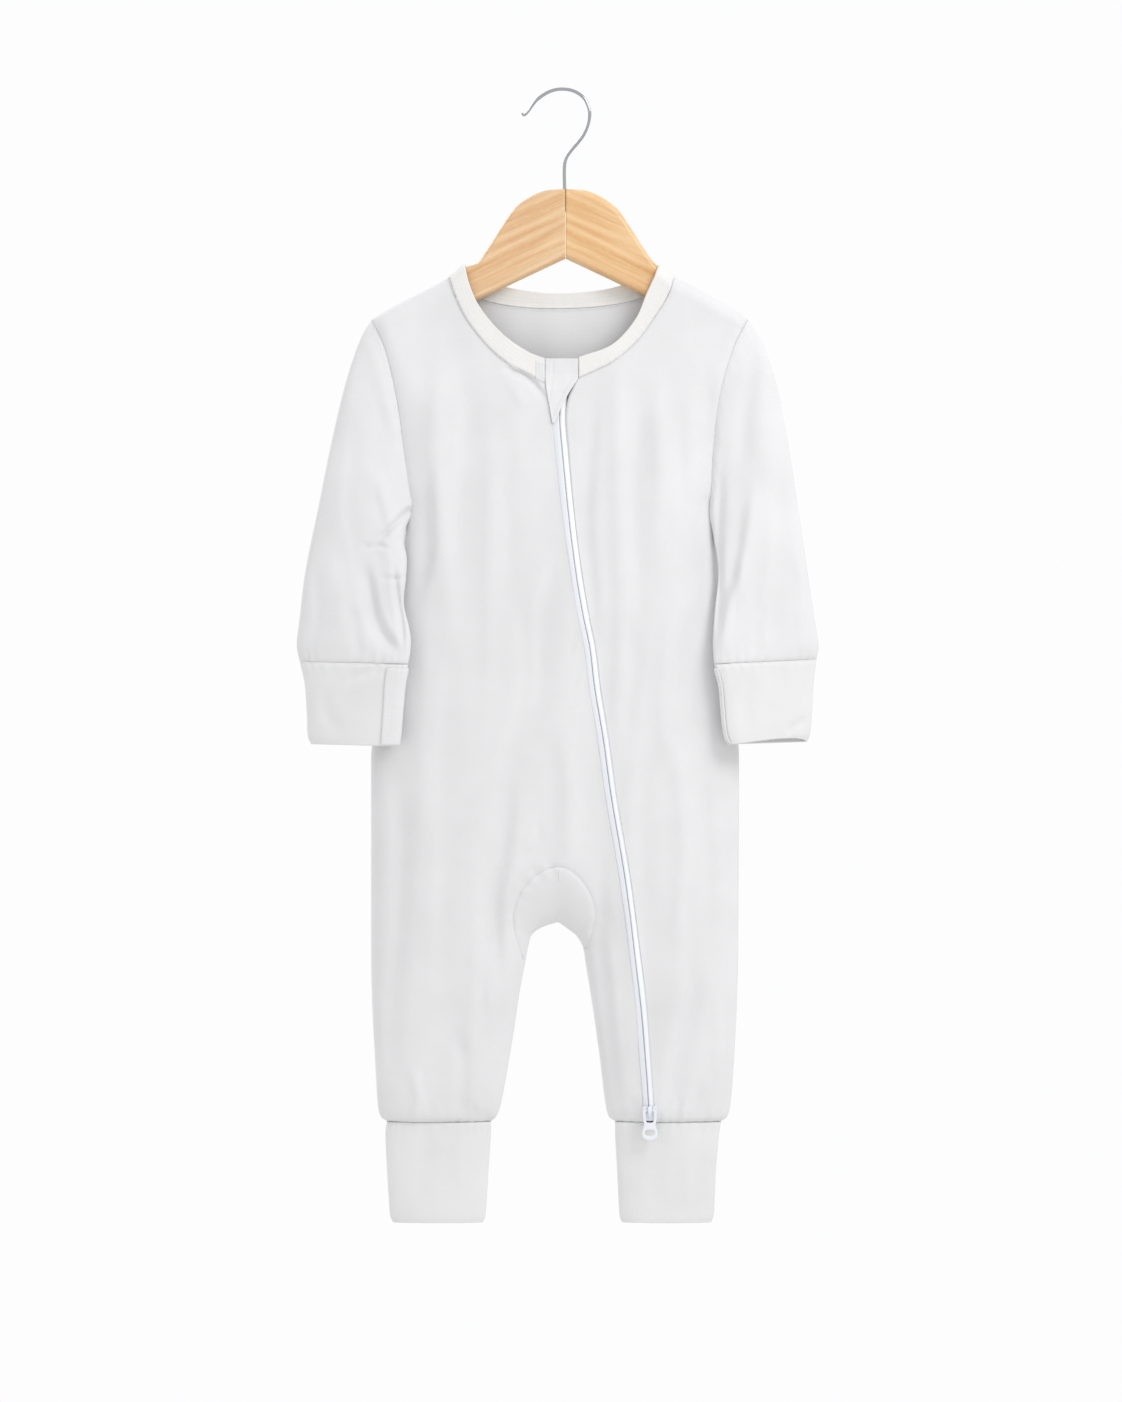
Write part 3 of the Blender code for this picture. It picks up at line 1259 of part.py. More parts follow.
front_right()
front_left()
back()
crotch_gusset()
neck_band()
zip_guard()
zip_pieces()
for word, which in (("right", RIGHT), ("left", LEFT)):
    sleeve(which, f"sleeve_{word}")
    sleeve_cuff(which, f"sleeve_cuff_{word}")
    mitten_fold(which, f"mitten_fold_{word}")
    leg_cuff(which, f"leg_cuff_{word}")
SOCKET = hook_socket()
hanger_arm(RIGHT, "hanger_arm_right")
hanger_arm(LEFT, "hanger_arm_left")
hanger_hook()
zip_slider()
pull_tab()
for made in ROMPER.objects:
    colour(made)
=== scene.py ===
"""Footless zip romper on a child's wooden hanger.

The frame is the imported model's: +Z up, +X the wearer's left, the viewer at -Y, the origin inside the hook's
crown. Tables and shapes are worked out in millimetres and go into the meshes in metres.
"""

from collections import namedtuple

import bmesh
import bpy
import numpy as np
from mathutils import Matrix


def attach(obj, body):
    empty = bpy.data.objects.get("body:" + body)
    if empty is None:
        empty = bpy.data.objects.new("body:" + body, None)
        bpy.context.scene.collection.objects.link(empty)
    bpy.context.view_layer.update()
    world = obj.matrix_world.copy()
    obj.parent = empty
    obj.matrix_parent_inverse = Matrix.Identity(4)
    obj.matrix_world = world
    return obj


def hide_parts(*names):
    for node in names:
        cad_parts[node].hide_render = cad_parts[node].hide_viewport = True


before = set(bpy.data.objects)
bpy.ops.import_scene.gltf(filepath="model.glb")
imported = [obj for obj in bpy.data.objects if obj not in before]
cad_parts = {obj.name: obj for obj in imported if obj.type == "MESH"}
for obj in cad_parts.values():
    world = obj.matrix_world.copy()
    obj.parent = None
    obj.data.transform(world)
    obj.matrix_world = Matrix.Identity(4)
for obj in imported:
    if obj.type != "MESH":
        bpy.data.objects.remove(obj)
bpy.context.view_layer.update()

# ============================================================ the hanger's wooden halves
# Two boards of maple, sawn to a child's shoulder line and glued at a butt joint in the middle. Their edges are
# routed round and sanded; a clear satin lacquer keeps the honey colour, the fine grain and a soft shine.
MM = 0.001
RIGHT = -1
LEFT = 1
GARMENT = "romper_on_hanger"
NAMED = {RIGHT: "right", LEFT: "left"}
JOINT_X = 3.4
BOARD = 10.0
EDGE_ROUND = 4.2
BOARD_TOP = [
    (0.15, -60.8), (15.2, -62.6), (30.7, -71.9), (39.4, -83.6), (46.8, -95.2), (51.5, -102.2), (55.4, -107.2),
]
BOARD_TOP_HIDDEN = {
    RIGHT: [(62.9, -109.7), (72.2, -117.7), (84, -124.5), (98.9, -132), (111.5, -139.4)],
    LEFT: [(58.4, -109.7), (67.3, -117.7), (80.9, -124.5), (93.9, -132), (107, -139.4)],
}
BOARD_LOW = [(0.15, -104.2), (28.2, -117.4), (54.2, -130), (84, -145.5), (101, -152)]
MAPLE = {RIGHT: ("#E6C79F", "#C99660"), LEFT: ("#E9C799", "#CD985B")}


def linear(code):
    """sRGB hex to linear: c / 12.92 for the darkest tones, else ((c + 0.055) / 1.055) ** 2.4."""
    c = np.array([int(code[i : i + 2], 16) for i in (1, 3, 5)]) / 255
    c = np.where(c <= 0.04045, c / 12.92, ((c + 0.055) / 1.055) ** 2.4)
    return (*[float(v) for v in c], 1.0)


def node(material, kind, sockets=(), **settings):
    """Adds one node: its settings, then each socket's value, or the output, or a node's first one, that feeds it."""
    new = material.node_tree.nodes.new("ShaderNode" + kind)
    for key, value in settings.items():
        setattr(new, key, value)
    for socket, value in dict(sockets).items():
        if isinstance(value, bpy.types.Node):
            value = value.outputs[0]
        if isinstance(value, bpy.types.NodeSocket):
            material.node_tree.links.new(value, new.inputs[socket])
        else:
            new.inputs[socket].default_value = value
    return new


def finish(name):
    """An empty node material with its output; the shader is linked by surface()."""
    material = bpy.data.materials.new(name)
    material.use_nodes = True
    material.node_tree.nodes.clear()
    return material


def surface(material, sockets):
    shader = node(material, "BsdfPrincipled", sockets)
    node(material, "OutputMaterial", {"Surface": shader.outputs["BSDF"]})
    return material


def hermite(at, knots, values, slopes):
    """Cubic through (knots, values) with given slopes m, h being the step between two knots:
    (1+2s)(1-s)^2 v0 + s(1-s)^2 h m0 + s^2(3-2s) v1 + s^2(s-1) h m1."""
    q = np.clip(np.asarray(at, float), knots[0], knots[-1])
    k = np.clip(np.searchsorted(knots, q, side="right") - 1, 0, len(knots) - 2)
    h = knots[k + 1] - knots[k]
    s = (q - knots[k]) / h
    if values.ndim > 1:
        s = s[..., None]
        h = h[..., None]
    rise = s * (1 - s) ** 2 * h * slopes[k] + s * s * (s - 1) * h * slopes[k + 1]
    return (1 + 2 * s) * (1 - s) ** 2 * values[k] + s * s * (3 - 2 * s) * values[k + 1] + rise


def along(points, t):
    """Points at the fractions t of a smooth curve through the given points, by chord length."""
    p = np.array(points, float)
    steps = np.linalg.norm(np.diff(p, axis=0), axis=1)
    knots = np.concatenate([[0.0], np.cumsum(steps)]) / steps.sum()
    inner = (p[2:] - p[:-2]) / (knots[2:] - knots[:-2])[:, None]
    first = (p[1] - p[0]) / knots[1]
    last = (p[-1] - p[-2]) / (1 - knots[-2])
    return hermite(t, knots, p, np.vstack([first, inner, last]))


def unit(v):
    """Vectors made one long: v / |v|."""
    return v / np.maximum(np.linalg.norm(v, axis=-1, keepdims=True), 1e-9)


def travelled(path):
    """The length along a path from its start to each of its points."""
    return np.concatenate([[0.0], np.cumsum(np.linalg.norm(np.diff(path, axis=0), axis=1))])


def net(rows, cols, wrap_rows=False, wrap_cols=False):
    """Quads over a grid of points, and each corner's row and column counted on past a wrap."""
    r, c = np.meshgrid(
        np.arange(rows if wrap_rows else rows - 1), np.arange(cols if wrap_cols else cols - 1), indexing="ij"
    )
    row = np.stack([r, r, r + 1, r + 1], -1).reshape(-1, 4)
    col = np.stack([c, c + 1, c + 1, c], -1).reshape(-1, 4)
    return (row % rows) * cols + col % cols, row, col


def add_piece(name, points, faces, material, uv=None, body=GARMENT, weld=False):
    """A closed quad mesh from points in millimetres. It is turned if its volume, sum p0.(p1 x p2)/6, is negative."""
    points = np.asarray(points, float).reshape(-1, 3)
    p = points[faces] - points.mean(axis=0)
    volume = (np.cross(p[:, 1], p[:, 2]) * p[:, 0]).sum() + (np.cross(p[:, 2], p[:, 3]) * p[:, 0]).sum()
    if volume < 0:
        faces = faces[:, ::-1]
        uv = None if uv is None else uv[:, ::-1]
    mesh = bpy.data.meshes.new(name)
    mesh.from_pydata((points * MM).tolist(), [], faces.tolist())
    if uv is not None:
        layer = mesh.uv_layers.new(name="cut")
        layer.uv.foreach_set("vector", (np.asarray(uv, np.float32) * MM).ravel())
    mesh.polygons.foreach_set("use_smooth", np.ones(len(faces), bool))
    if weld:
        welded = bmesh.new()
        welded.from_mesh(mesh)
        bmesh.ops.remove_doubles(welded, verts=welded.verts, dist=1e-7)
        welded.to_mesh(mesh)
        welded.free()
    mesh.materials.append(material)
    piece = bpy.data.objects.new(name, mesh)
    bpy.context.scene.collection.objects.link(piece)
    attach(piece, body)
    return piece


def maple(side):
    """Maple: straight streaks 3 mm apart and 60 mm long, along the lower edge, short pale flecks of the rays, and a
    satin lacquer."""
    light, dark = MAPLE[side]
    wood = finish("lacquered maple " + NAMED[side])
    at = node(wood, "TexCoord").outputs["Object"]
    depth = node(wood, "SeparateXYZ", {0: at}).outputs["Y"]
    run = node(wood, "VectorMath", {0: at, 1: (side * 0.904, 0.0, -0.427)}, operation="DOT_PRODUCT").outputs["Value"]
    rise = node(wood, "VectorMath", {0: at, 1: (side * 0.427, 0.0, 0.904)}, operation="DOT_PRODUCT").outputs["Value"]
    long = node(wood, "Math", {0: run, 1: 17.0 + side}, operation="MULTIPLY")
    wide = node(wood, "Math", {0: rise, 1: 330.0}, operation="MULTIPLY")
    deep = node(wood, "Math", {0: depth, 1: 160.0}, operation="MULTIPLY")
    streak_at = node(wood, "CombineXYZ", {0: long, 1: wide, 2: deep})
    streak = node(wood, "TexNoise", {"Vector": streak_at, "Scale": 1.0, "Detail": 5.0, "Roughness": 0.62})
    band_at = node(wood, "VectorMath", {0: streak_at, 1: (0.35, 0.16, 0.16)}, operation="MULTIPLY")
    band = node(wood, "TexNoise", {"Vector": band_at, "Scale": 1.0, "Detail": 2.0, "Distortion": 0.6})
    fleck_at = node(wood, "VectorMath", {0: streak_at, 1: (14.0, 5.0, 5.0)}, operation="MULTIPLY")
    fleck = node(wood, "TexNoise", {"Vector": fleck_at, "Scale": 1.0, "Detail": 3.0})
    spots = node(wood, "MapRange", {"Value": fleck, "From Min": 0.56, "From Max": 0.72, "To Max": 0.32})
    tone = node(wood, "Mix", {0: 0.45, 2: streak, 3: band}, data_type="FLOAT")
    share = node(wood, "MapRange", {"Value": tone, "From Min": 0.36, "From Max": 0.66})
    grain = node(wood, "Mix", {0: share, 6: linear(light), 7: linear(dark)}, data_type="RGBA").outputs[2]
    flecked = node(wood, "Mix", {0: spots, 6: grain, 7: linear("#F2D9B4")}, data_type="RGBA").outputs[2]
    bump = node(wood, "Bump", {"Height": streak, "Strength": 0.12, "Distance": 0.0004})
    lacquer = {"Roughness": 0.42, "Coat Weight": 0.25, "Coat Roughness": 0.22}
    return surface(wood, {"Base Color": flecked, "Normal": bump, **lacquer})


def board(side):
    """Rounded rectangles between the top and the low edge, carried from the joint to the blunt, rounded tip.

    A corner is its centre, set in by the radius r, plus r (cos a, sin a); the tip's rings shrink by r (1 - cos a)
    while they go on by r sin a, and both ends close in a point.
    """
    s = np.linspace(0, 1, 96)
    top = along(BOARD_TOP + BOARD_TOP_HIDDEN[side], s)
    low = along(BOARD_LOW, s)
    half = np.linalg.norm(top - low, axis=1) / 2
    up = (top - low) / (2 * half)[:, None]
    middle = (top + low) / 2
    run = unit(np.gradient(middle, axis=0))
    end = np.radians(np.linspace(0, 90, 8))[1:]
    shrink = np.concatenate([[0.04], np.zeros(len(s)), EDGE_ROUND * (1 - np.cos(end))])
    forward = np.concatenate([np.zeros(1 + len(s)), EDGE_ROUND * np.sin(end)])
    pick = np.concatenate([[0], np.arange(len(s)), np.full(len(end), len(s) - 1)])
    wide = half[pick] - shrink
    thick = BOARD / 2 - shrink
    r = np.minimum(EDGE_ROUND, thick - 0.05)
    a = np.linspace(0, np.pi / 2, 8)
    turn = a[None, :] + np.pi / 2 * np.arange(4)[:, None]
    sign_x = np.array([1, -1, -1, 1])[:, None]
    sign_y = np.array([1, 1, -1, -1])[:, None]
    across = sign_x * (wide - r)[:, None, None] + r[:, None, None] * np.cos(turn)
    deep = sign_y * (thick - r)[:, None, None] + r[:, None, None] * np.sin(turn)
    ring = np.stack([across, deep], -1)
    flat = ring[:, :, -1:] + (np.roll(ring[:, :, :1], -1, axis=1) - ring[:, :, -1:]) * np.array([0.03, 0.97])[:, None]
    ring = np.concatenate([ring, flat], axis=2).reshape(len(pick), -1, 2)
    ring = np.concatenate([ring[:1] * 0, ring, ring[-1:] * 0])
    pick = np.concatenate([[0], pick, pick[-1:]])
    forward = np.concatenate([[0], forward, forward[-1:]])
    centre = middle[pick] + run[pick] * forward[:, None]
    flat_points = centre[:, None] + ring[:, :, :1] * up[pick][:, None]
    points = np.stack([JOINT_X + side * flat_points[..., 0], ring[..., 1], flat_points[..., 1]], -1)
    faces, row, col = net(*points.shape[:2], wrap_cols=True)
    length = travelled(centre)
    uv = np.stack([length[row], ring[row % len(length), col % ring.shape[1], 0]], -1)
    hand = NAMED[side]
    piece = add_piece("maple_half_" + hand, points, faces, maple(side), uv, weld=True)
    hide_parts("hanger_arm_" + hand)


for side in NAMED:
    board(side)

# ============================================================ the wire hook
# Steel wire, 2.1 mm thick, bent on a jig, bright chrome plated and driven into a drilled hole in the wood. Its end
# is drawn thinner and turned up; the plating shows as grey metal with narrow white lights.
HOOK = [
    (2.8, -75), (2.8, -60.8), (2.8, -46.5), (4.4, -40.5), (14.9, -26.7), (18.4, -14.9), (16.1, -6.3), (12, -2),
    (6.5, 0.5), (0, 1.05), (-5, 0.1), (-9.8, -2.2), (-14.3, -5.6), (-17.2, -9.2), (-19.6, -12.8), (-22.3, -15.2),
    (-23.8, -13.6),
]
WIRE = 1.05


def chrome():
    """Chrome plating: a metal, so its colour is its reflection; fine polishing lines lie along the wire."""
    plate = finish("chrome plated wire")
    at = node(plate, "TexCoord").outputs["Object"]
    fine = node(plate, "TexNoise", {"Vector": at, "Scale": 900.0, "Detail": 2.0})
    rough = node(plate, "MapRange", {"Value": fine, "To Min": 0.07, "To Max": 0.17})
    return surface(plate, {"Base Color": linear("#A9ABAE"), "Metallic": 1.0, "Roughness": rough})


def rod(path, radius, aside, around=16):
    """Rings along a path: path + radius (cos a * aside + sin a * (tangent x aside)), its ends closed to points."""
    tangent = unit(np.gradient(path, axis=0))
    tangent = np.vstack([tangent[:1], tangent, tangent[-1:]])
    path = np.vstack([path[:1], path, path[-1:]])
    radius = np.concatenate([[0.0], radius, [0.0]])
    other = np.cross(tangent, aside)
    a = np.linspace(0, 2 * np.pi, around, endpoint=False)[None, :, None]
    points = path[:, None] + radius[:, None, None] * (np.cos(a) * aside + np.sin(a) * other[:, None])
    return points, net(len(path), around, wrap_cols=True)[0]


hook_t = np.linspace(0, 1, 300)
hook_xz = along(HOOK, hook_t)
hook_path = np.column_stack([hook_xz[:, 0], np.zeros(300), hook_xz[:, 1]])
hook_radius = WIRE * (1 - 0.32 * np.clip((hook_t - 0.86) / 0.08, 0, 1))
hook_radius *= np.sqrt(np.clip(1 - ((hook_t - 0.992) / 0.008).clip(0, 1) ** 2, 0.02, 1))
hook_points, hook_faces = rod(hook_path, hook_radius, np.array([0.0, 1.0, 0.0]))
hook = add_piece("wire_hook", hook_points, hook_faces, chrome(), weld=True)
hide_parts("hanger_hook")

# ============================================================ the front and back panels
# Single jersey of bamboo and cotton, 0.8 mm thick, cut in three panels: the right front with the strip between the
# legs' seam and the zip, the left front beyond the zip, and the whole back. They are overlocked at the sides, hang
# from the wood and fall in long soft folds; the seams draw the cloth into small puckers.
CLOTH = 0.8
HALF_GAP = 0.02
UNDERARM_Z = -258.5
CROTCH_Z = -480.5
HEM_Z = -638.6
FRONT = -1
BACK = 1
NAPE = 2
SHOULDER_ROUND = 8.5
SHOULDER = {
    RIGHT: [(-59.5, -107.3), (-68.8, -115.3), (-80.6, -122.1), (-95.5, -129.6), (-109.1, -137), (-116.6, -142)],
    LEFT: [(61.4, -107.3), (70.7, -115.3), (84.3, -122.1), (97.3, -129.6), (110.4, -137), (116.6, -142)],
}
# Armhole seam: z, x on the right, x on the left.
ARMHOLE = [
    (-142, -116.6, 116.6), (-160.6, -108.5, 107.3), (-191.6, -101.1, 98.6), (-222.6, -96.7, 94.9),
    (-240, -94.4, 93.9), (-258.5, -94.2, 93.9),
]
# The cloth's side, down to the hem: z, right x, left x, and the same two where the underarm's pinch has eased.
SIDE = [
    (-142, -116.6, 116.6, -116.6, 116.6), (-165, -112.5, 112, -112.5, 112), (-195, -107.5, 106, -108, 106.6),
    (-225, -103, 101.5, -105, 103.6), (-245, -98.5, 98, -103.4, 102.4), (-258.5, -94.2, 93.9, -102.8, 101.8),
    (-272, -95.6, 95.2, -102.6, 101.4), (-290, -98.5, 97.6, -103, 101.4), (-315, -102.5, 100.6, -104.6, 102.2),
    (-345, -107.5, 104.5, -108, 104.8), (-380, -113, 108.3, -113, 108.3), (-415, -117.2, 111, -117.2, 111),
    (-535, -117.2, 110.4, -117.2, 110.4), (-563, -116.6, 109.7, -116.6, 109.7),
    (-600, -114.7, 107.9, -114.7, 107.9), (-630, -112.8, 105.4, -112.8, 105.4), (-636, -111, 103.5, -111, 103.5),
    (-638.6, -107.3, 99.8, -107.3, 99.8),
]
# Inner leg: z, right leg's x, left leg's x.
INSEAM = [
    (-515.2, -1.2, -1.2), (-517.7, -9.3, 2.5), (-520.2, -14.3, 5.8), (-524, -18, 10.5), (-531.3, -19.8, 14.3),
    (-542.5, -22, 16.1), (-557.4, -24.8, 18.6), (-582.2, -28.5, 22.3), (-600.8, -31.6, 24.8), (-630, -37.2, 28.5),
    (-636, -39.7, 30.4), (-638.6, -42.8, 34.1),
]
# Gusset seam: half width, height where its arch ends, and its return to the inner leg.
Arch = namedtuple("Arch", "reach low_z returns")
ARCH_X = -1.2
ARCH = {
    RIGHT: Arch(27.6, -512.1, [(-27.9, -521.4), (-24.9, -531.0), (-22.7, -538.5)]),
    LEFT: Arch(22.9, -510.9, [(19.8, -520.2), (17.6, -527.6), (15.9, -532.0)]),
}
# The slanting zip: z, right panel's edge, the zip's middle, left panel's edge.
ZIP = [
    (-178, -9.4, 1, 11.7), (-184, -8.6, 0.4, 8.1), (-193, -7, -0.3, 4.6), (-203, -5.4, -0.2, 3.5),
    (-222.6, -3.4, 1.3, 5.2), (-253.6, 0, 4.4, 8.1), (-290.8, 4.9, 8.8, 12.5), (-324.9, 10.5, 14.3, 18),
    (-346.6, 14.8, 18.6, 22.3), (-368.9, 17.6, 21.3, 25), (-402.4, 23, 26.7, 30.4), (-434, 27.3, 31, 34.7),
    (-489.8, 36.6, 40.3, 44), (-522.7, 41, 44.7, 48.4), (-567.3, 46.4, 50.1, 53.8), (-594.6, 48.4, 52.1, 55.8),
    (-626.8, 50.8, 54.5, 58.2), (-638.6, 51.4, 55.2, 58.9),
]
NECK_SEAM = {
    RIGHT: [(-9.4, -181), (-27.3, -172.4), (-41.5, -161.8), (-57, -143.2), (-65.1, -127.1), (-68.8, -115.3)],
    LEFT: [(11.6, -178.6), (32.2, -168.6), (47.7, -155.6), (62, -135.8), (68, -124.9), (70.7, -115.3)],
    NAPE: [(-68.8, -115.3), (-55.8, -126), (-34.1, -132.5), (-2.5, -134.6), (31, -132.5), (57, -126), (70.7, -115.3)],
}
# Half the depth of the hung cloth, and how far its rounding reaches in from the side and from the inner leg.
DEPTH = [
    (-107, 8.5, 9, 40), (-142, 8.6, 9, 40), (-165, 9.4, 14, 40), (-195, 11.5, 28, 40), (-225, 14, 45, 40),
    (-258, 17, 60, 40), (-310, 19.5, 68, 40), (-420, 20, 68, 40), (-480, 19.5, 58, 40), (-530, 18, 46, 40),
    (-600, 16, 38, 34), (-630, 14.2, 34, 31), (-636, 12.8, 32, 30), (-638.6, 10.6, 30, 30),
]
# Folds: both ends, width, depth (a ridge is negative), sideways bow, and how much wider the +x flank is.
Fold = namedtuple("Fold", "x1 z1 x2 z2 width depth bow lean", defaults=(0.0, 0.0))
FOLDS = {
    FRONT: [
        (-60, -160, -61, -330, 9, 1.7, 2, 0.3), (-75, -165, -74, -310, 7, -1.5, -1.5),
        (-81, -235, -87, -315, 6, 2.3, 1.5, -0.3), (-18, -325, -34, -440, 9, 1.9, 3, 0.3),
        (-34, -435, -41, -550, 8, 3.6, -1.5, -0.35), (-3, -288, -13, -385, 7, 1.5, -2, 0.3),
        (4, -395, 5, -475, 7, -1.7), (-100, -420, -105, -610, 7, 2.1, 2), (19, -190, 19, -330, 6, 1.7, -1.5, -0.3),
        (35, -170, 35, -400, 6, -1.7, 2), (62, -185, 62, -300, 7, -1.9, -1.5),
        (90, -172, 82, -325, 7.5, 2.7, 2, -0.3), (82, -315, 80, -405, 7.5, 2.1, -1),
        (56, -395, 52, -615, 8, 2.1, -2, 0.3), (73, -400, 74, -545, 6, -1.9, 1.5),
        (82, -548, 66, -627, 6, 2.3, 1.5, 0.3), (25, -480, 33, -627, 5, 1.7, -1), (-89, -605, -88, -637, 4, -1.5),
        (-62, -585, -60, -636, 5, 1.6, 1),
        # smaller ones between them
        (-46, -200, -47, -400, 5.5, -0.6, 3), (-30, -215, -31, -300, 5, 0.45, -2),
        (-33.5, -171.5, -10, -188.5, 2.2, 2.8, 2.5, -0.4), (-36, -180, -21, -196, 4.5, -0.8, 2),
        (-85, -330, -88, -470, 6, -0.9, 2.5), (-66, -350, -72, -560, 7, 0.9, -3, 0.3),
        (-52, -470, -56, -610, 5, -0.9, 1.5), (-45, -520, -47, -575, 3.5, 0.8, -1, -0.3),
        (48, -200, 49, -330, 4.5, 0.7, -1.5), (75, -200, 74, -300, 4.5, 0.8, 1), (44, -330, 42, -400, 5, 0.8, 1),
        (66, -330, 65, -420, 5, -0.8, -1.5), (88, -400, 90, -520, 5, 1.1, 1.5), (99, -560, 93, -630, 4.5, -1.2, 1),
        (26.5, -515, 39, -620, 4, -0.9, 1), (9.3, -335.5, 5, -350, 1.7, 0.55, 0.8),
        (11.6, -359, 6.5, -371.5, 1.8, 0.5, 0.8), (16, -376, 11, -384, 1.6, 0.45, 0.5),
        (19.5, -329.5, 27, -326, 1.7, 0.35, 0.4), (12.5, -412, 4, -424, 2.6, 0.4, 0.8),
        (-106, -345, -95, -410, 5, 0.8, -2), (-12, -455, -24, -478, 3.2, 0.9, 2, 0.3),
        (-88, -628, -84, -638, 2.2, 0.5), (-76, -624, -75, -638, 2.4, -0.5), (-53, -626, -56, -638, 2.2, 0.5),
        (73.5, -622, 71, -638, 2.2, 0.8), (80, -618, 75.5, -638, 2.2, -0.7), (88, -616, 80.5, -638, 2.4, 0.7),
        (97, -606, 88, -637, 3, 0.8), (44, -624, 47, -638, 2.4, 0.6),
    ],
    BACK: [
        (-58, -165, -70, -340, 8, 1.9, 2, 0.3), (62, -165, 72, -330, 8, 2.1, -2, -0.3),
        (-30, -180, -26, -365, 9, -1.7, 2), (24, -200, 30, -425, 9, -1.9, -2.5),
        (-5, -335, -36, -525, 9, 2.5, 3, -0.3), (44, -375, 40, -550, 9, 2.3, -2, 0.3),
        (-88, -400, -92, -605, 8, 1.9, 2), (84, -415, 80, -612, 8, 2.1, -2), (-66, -540, -74, -633, 7, -1.7, 1),
        (62, -560, 66, -633, 7, -1.7, -1), (-2, -150, 3, -300, 7, 0.8, -2), (-84, -240, -62, -262, 4.5, 1, 3),
        (84, -238, 60, -264, 4.5, 1.1, -3), (46, -230, 52, -360, 5.5, 0.9, 2),
        (-50, -330, -56, -470, 5.5, -0.9, -2), (10, -300, 8, -460, 6, 0.8, 3), (66, -340, 68, -480, 5.5, -0.9, 2),
        (-100, -320, -86, -420, 5.5, 0.9, -2), (12, -462, 24, -482, 3, 0.8, -2), (-14, -460, -26, -480, 3, 0.8, 2),
        (-50, -550, -54, -630, 4.5, 1, 1), (48, -560, 46, -630, 4.5, 1, 1), (-92, -618, -88, -638, 2.4, 0.6),
        (-70, -620, -70, -638, 2.4, -0.5), (86, -618, 80, -638, 2.4, 0.6), (58, -620, 60, -638, 2.4, 0.5),
    ],
}


def monotone(at, knots, values):
    """A monotone cubic, which never swings past its rows: slopes are harmonic means, 0 at a turn."""
    rise = np.diff(values) / np.diff(knots)
    product = rise[:-1] * rise[1:]
    total = np.where(product > 0, rise[:-1] + rise[1:], 1.0)
    inner = np.where(product > 0, 2 * product / total, 0.0)
    return hermite(at, knots, values, np.concatenate([rise[:1], inner, rise[-1:]]))


def by_height(z, rows, column):
    """A table's column at height z, for rows that run downwards."""
    table = np.array(rows, float)[::-1]
    return monotone(z, table[:, 0], table[:, column])


def side_x(side, z, eased=0):
    return by_height(z, SIDE, (1 if side == RIGHT else 2) + 2 * eased)


INSEAM_Z = np.interp(np.linspace(0, len(INSEAM) - 1, 90), np.arange(len(INSEAM)), [row[0] for row in INSEAM])
INSEAM_X = {RIGHT: by_height(INSEAM_Z, INSEAM, 1), LEFT: by_height(INSEAM_Z, INSEAM, 2)}


def inseam_x(side, z):
    return np.interp(z, INSEAM_Z[::-1], INSEAM_X[side][::-1])


PEAK_X = (SHOULDER[RIGHT][0][0] + SHOULDER[LEFT][0][0]) / 2
PEAK = (PEAK_X, SHOULDER[LEFT][0][1] + 0.8 * (SHOULDER[LEFT][0][0] - PEAK_X))
FOLD_LINE = np.array(SHOULDER[RIGHT][::-1] + [PEAK] + SHOULDER[LEFT])


def fold_line_z(x):
    """Height of the shoulder fold over x."""
    return monotone(x, FOLD_LINE[:, 0], FOLD_LINE[:, 1])


def nearest(x, z, line):
    """Distance from points to a line of points, and how far along it the nearest place is."""
    a = line[:-1]
    d = np.diff(line, axis=0)
    size = (d * d).sum(-1)
    start = np.concatenate([[0.0], np.cumsum(np.sqrt(size))])[:-1]
    t = np.clip(((x[:, None] - a[:, 0]) * d[:, 0] + (z[:, None] - a[:, 1]) * d[:, 1]) / size, 0, 1)
    far = np.hypot(x[:, None] - a[:, 0] - t * d[:, 0], z[:, None] - a[:, 1] - t * d[:, 1])
    best = far.argmin(axis=1)
    row = np.arange(len(x))
    return far[row, best], start[best] + t[row, best] * np.sqrt(size)[best]


CROTCH_LINE = np.vstack(
    [np.column_stack([INSEAM_X[RIGHT], INSEAM_Z])[::-1], np.column_stack([INSEAM_X[LEFT], INSEAM_Z])[1:]]
)


def from_crotch(x, z):
    """Distance to the inner leg silhouette, 0 between the legs, and a large value well above them."""
    found = np.full(x.shape, 99.0)
    near = z < INSEAM_Z[0] + 46
    if near.any():
        found[near] = nearest(x[near], z[near], CROTCH_LINE)[0]
    between = (z < INSEAM_Z[0]) & (x > inseam_x(RIGHT, z)) & (x < inseam_x(LEFT, z))
    return np.where(between, 0.0, found)


def bell(q):
    """A soft hump: exp(-q^2)."""
    return np.exp(-(q**2))


def rounding(distance, reach):
    """0 at the silhouette and 1 past the reach, on a quarter of an ellipse."""
    t = np.clip(distance / reach, 0, 1)
    return np.sqrt(t * (2 - t))


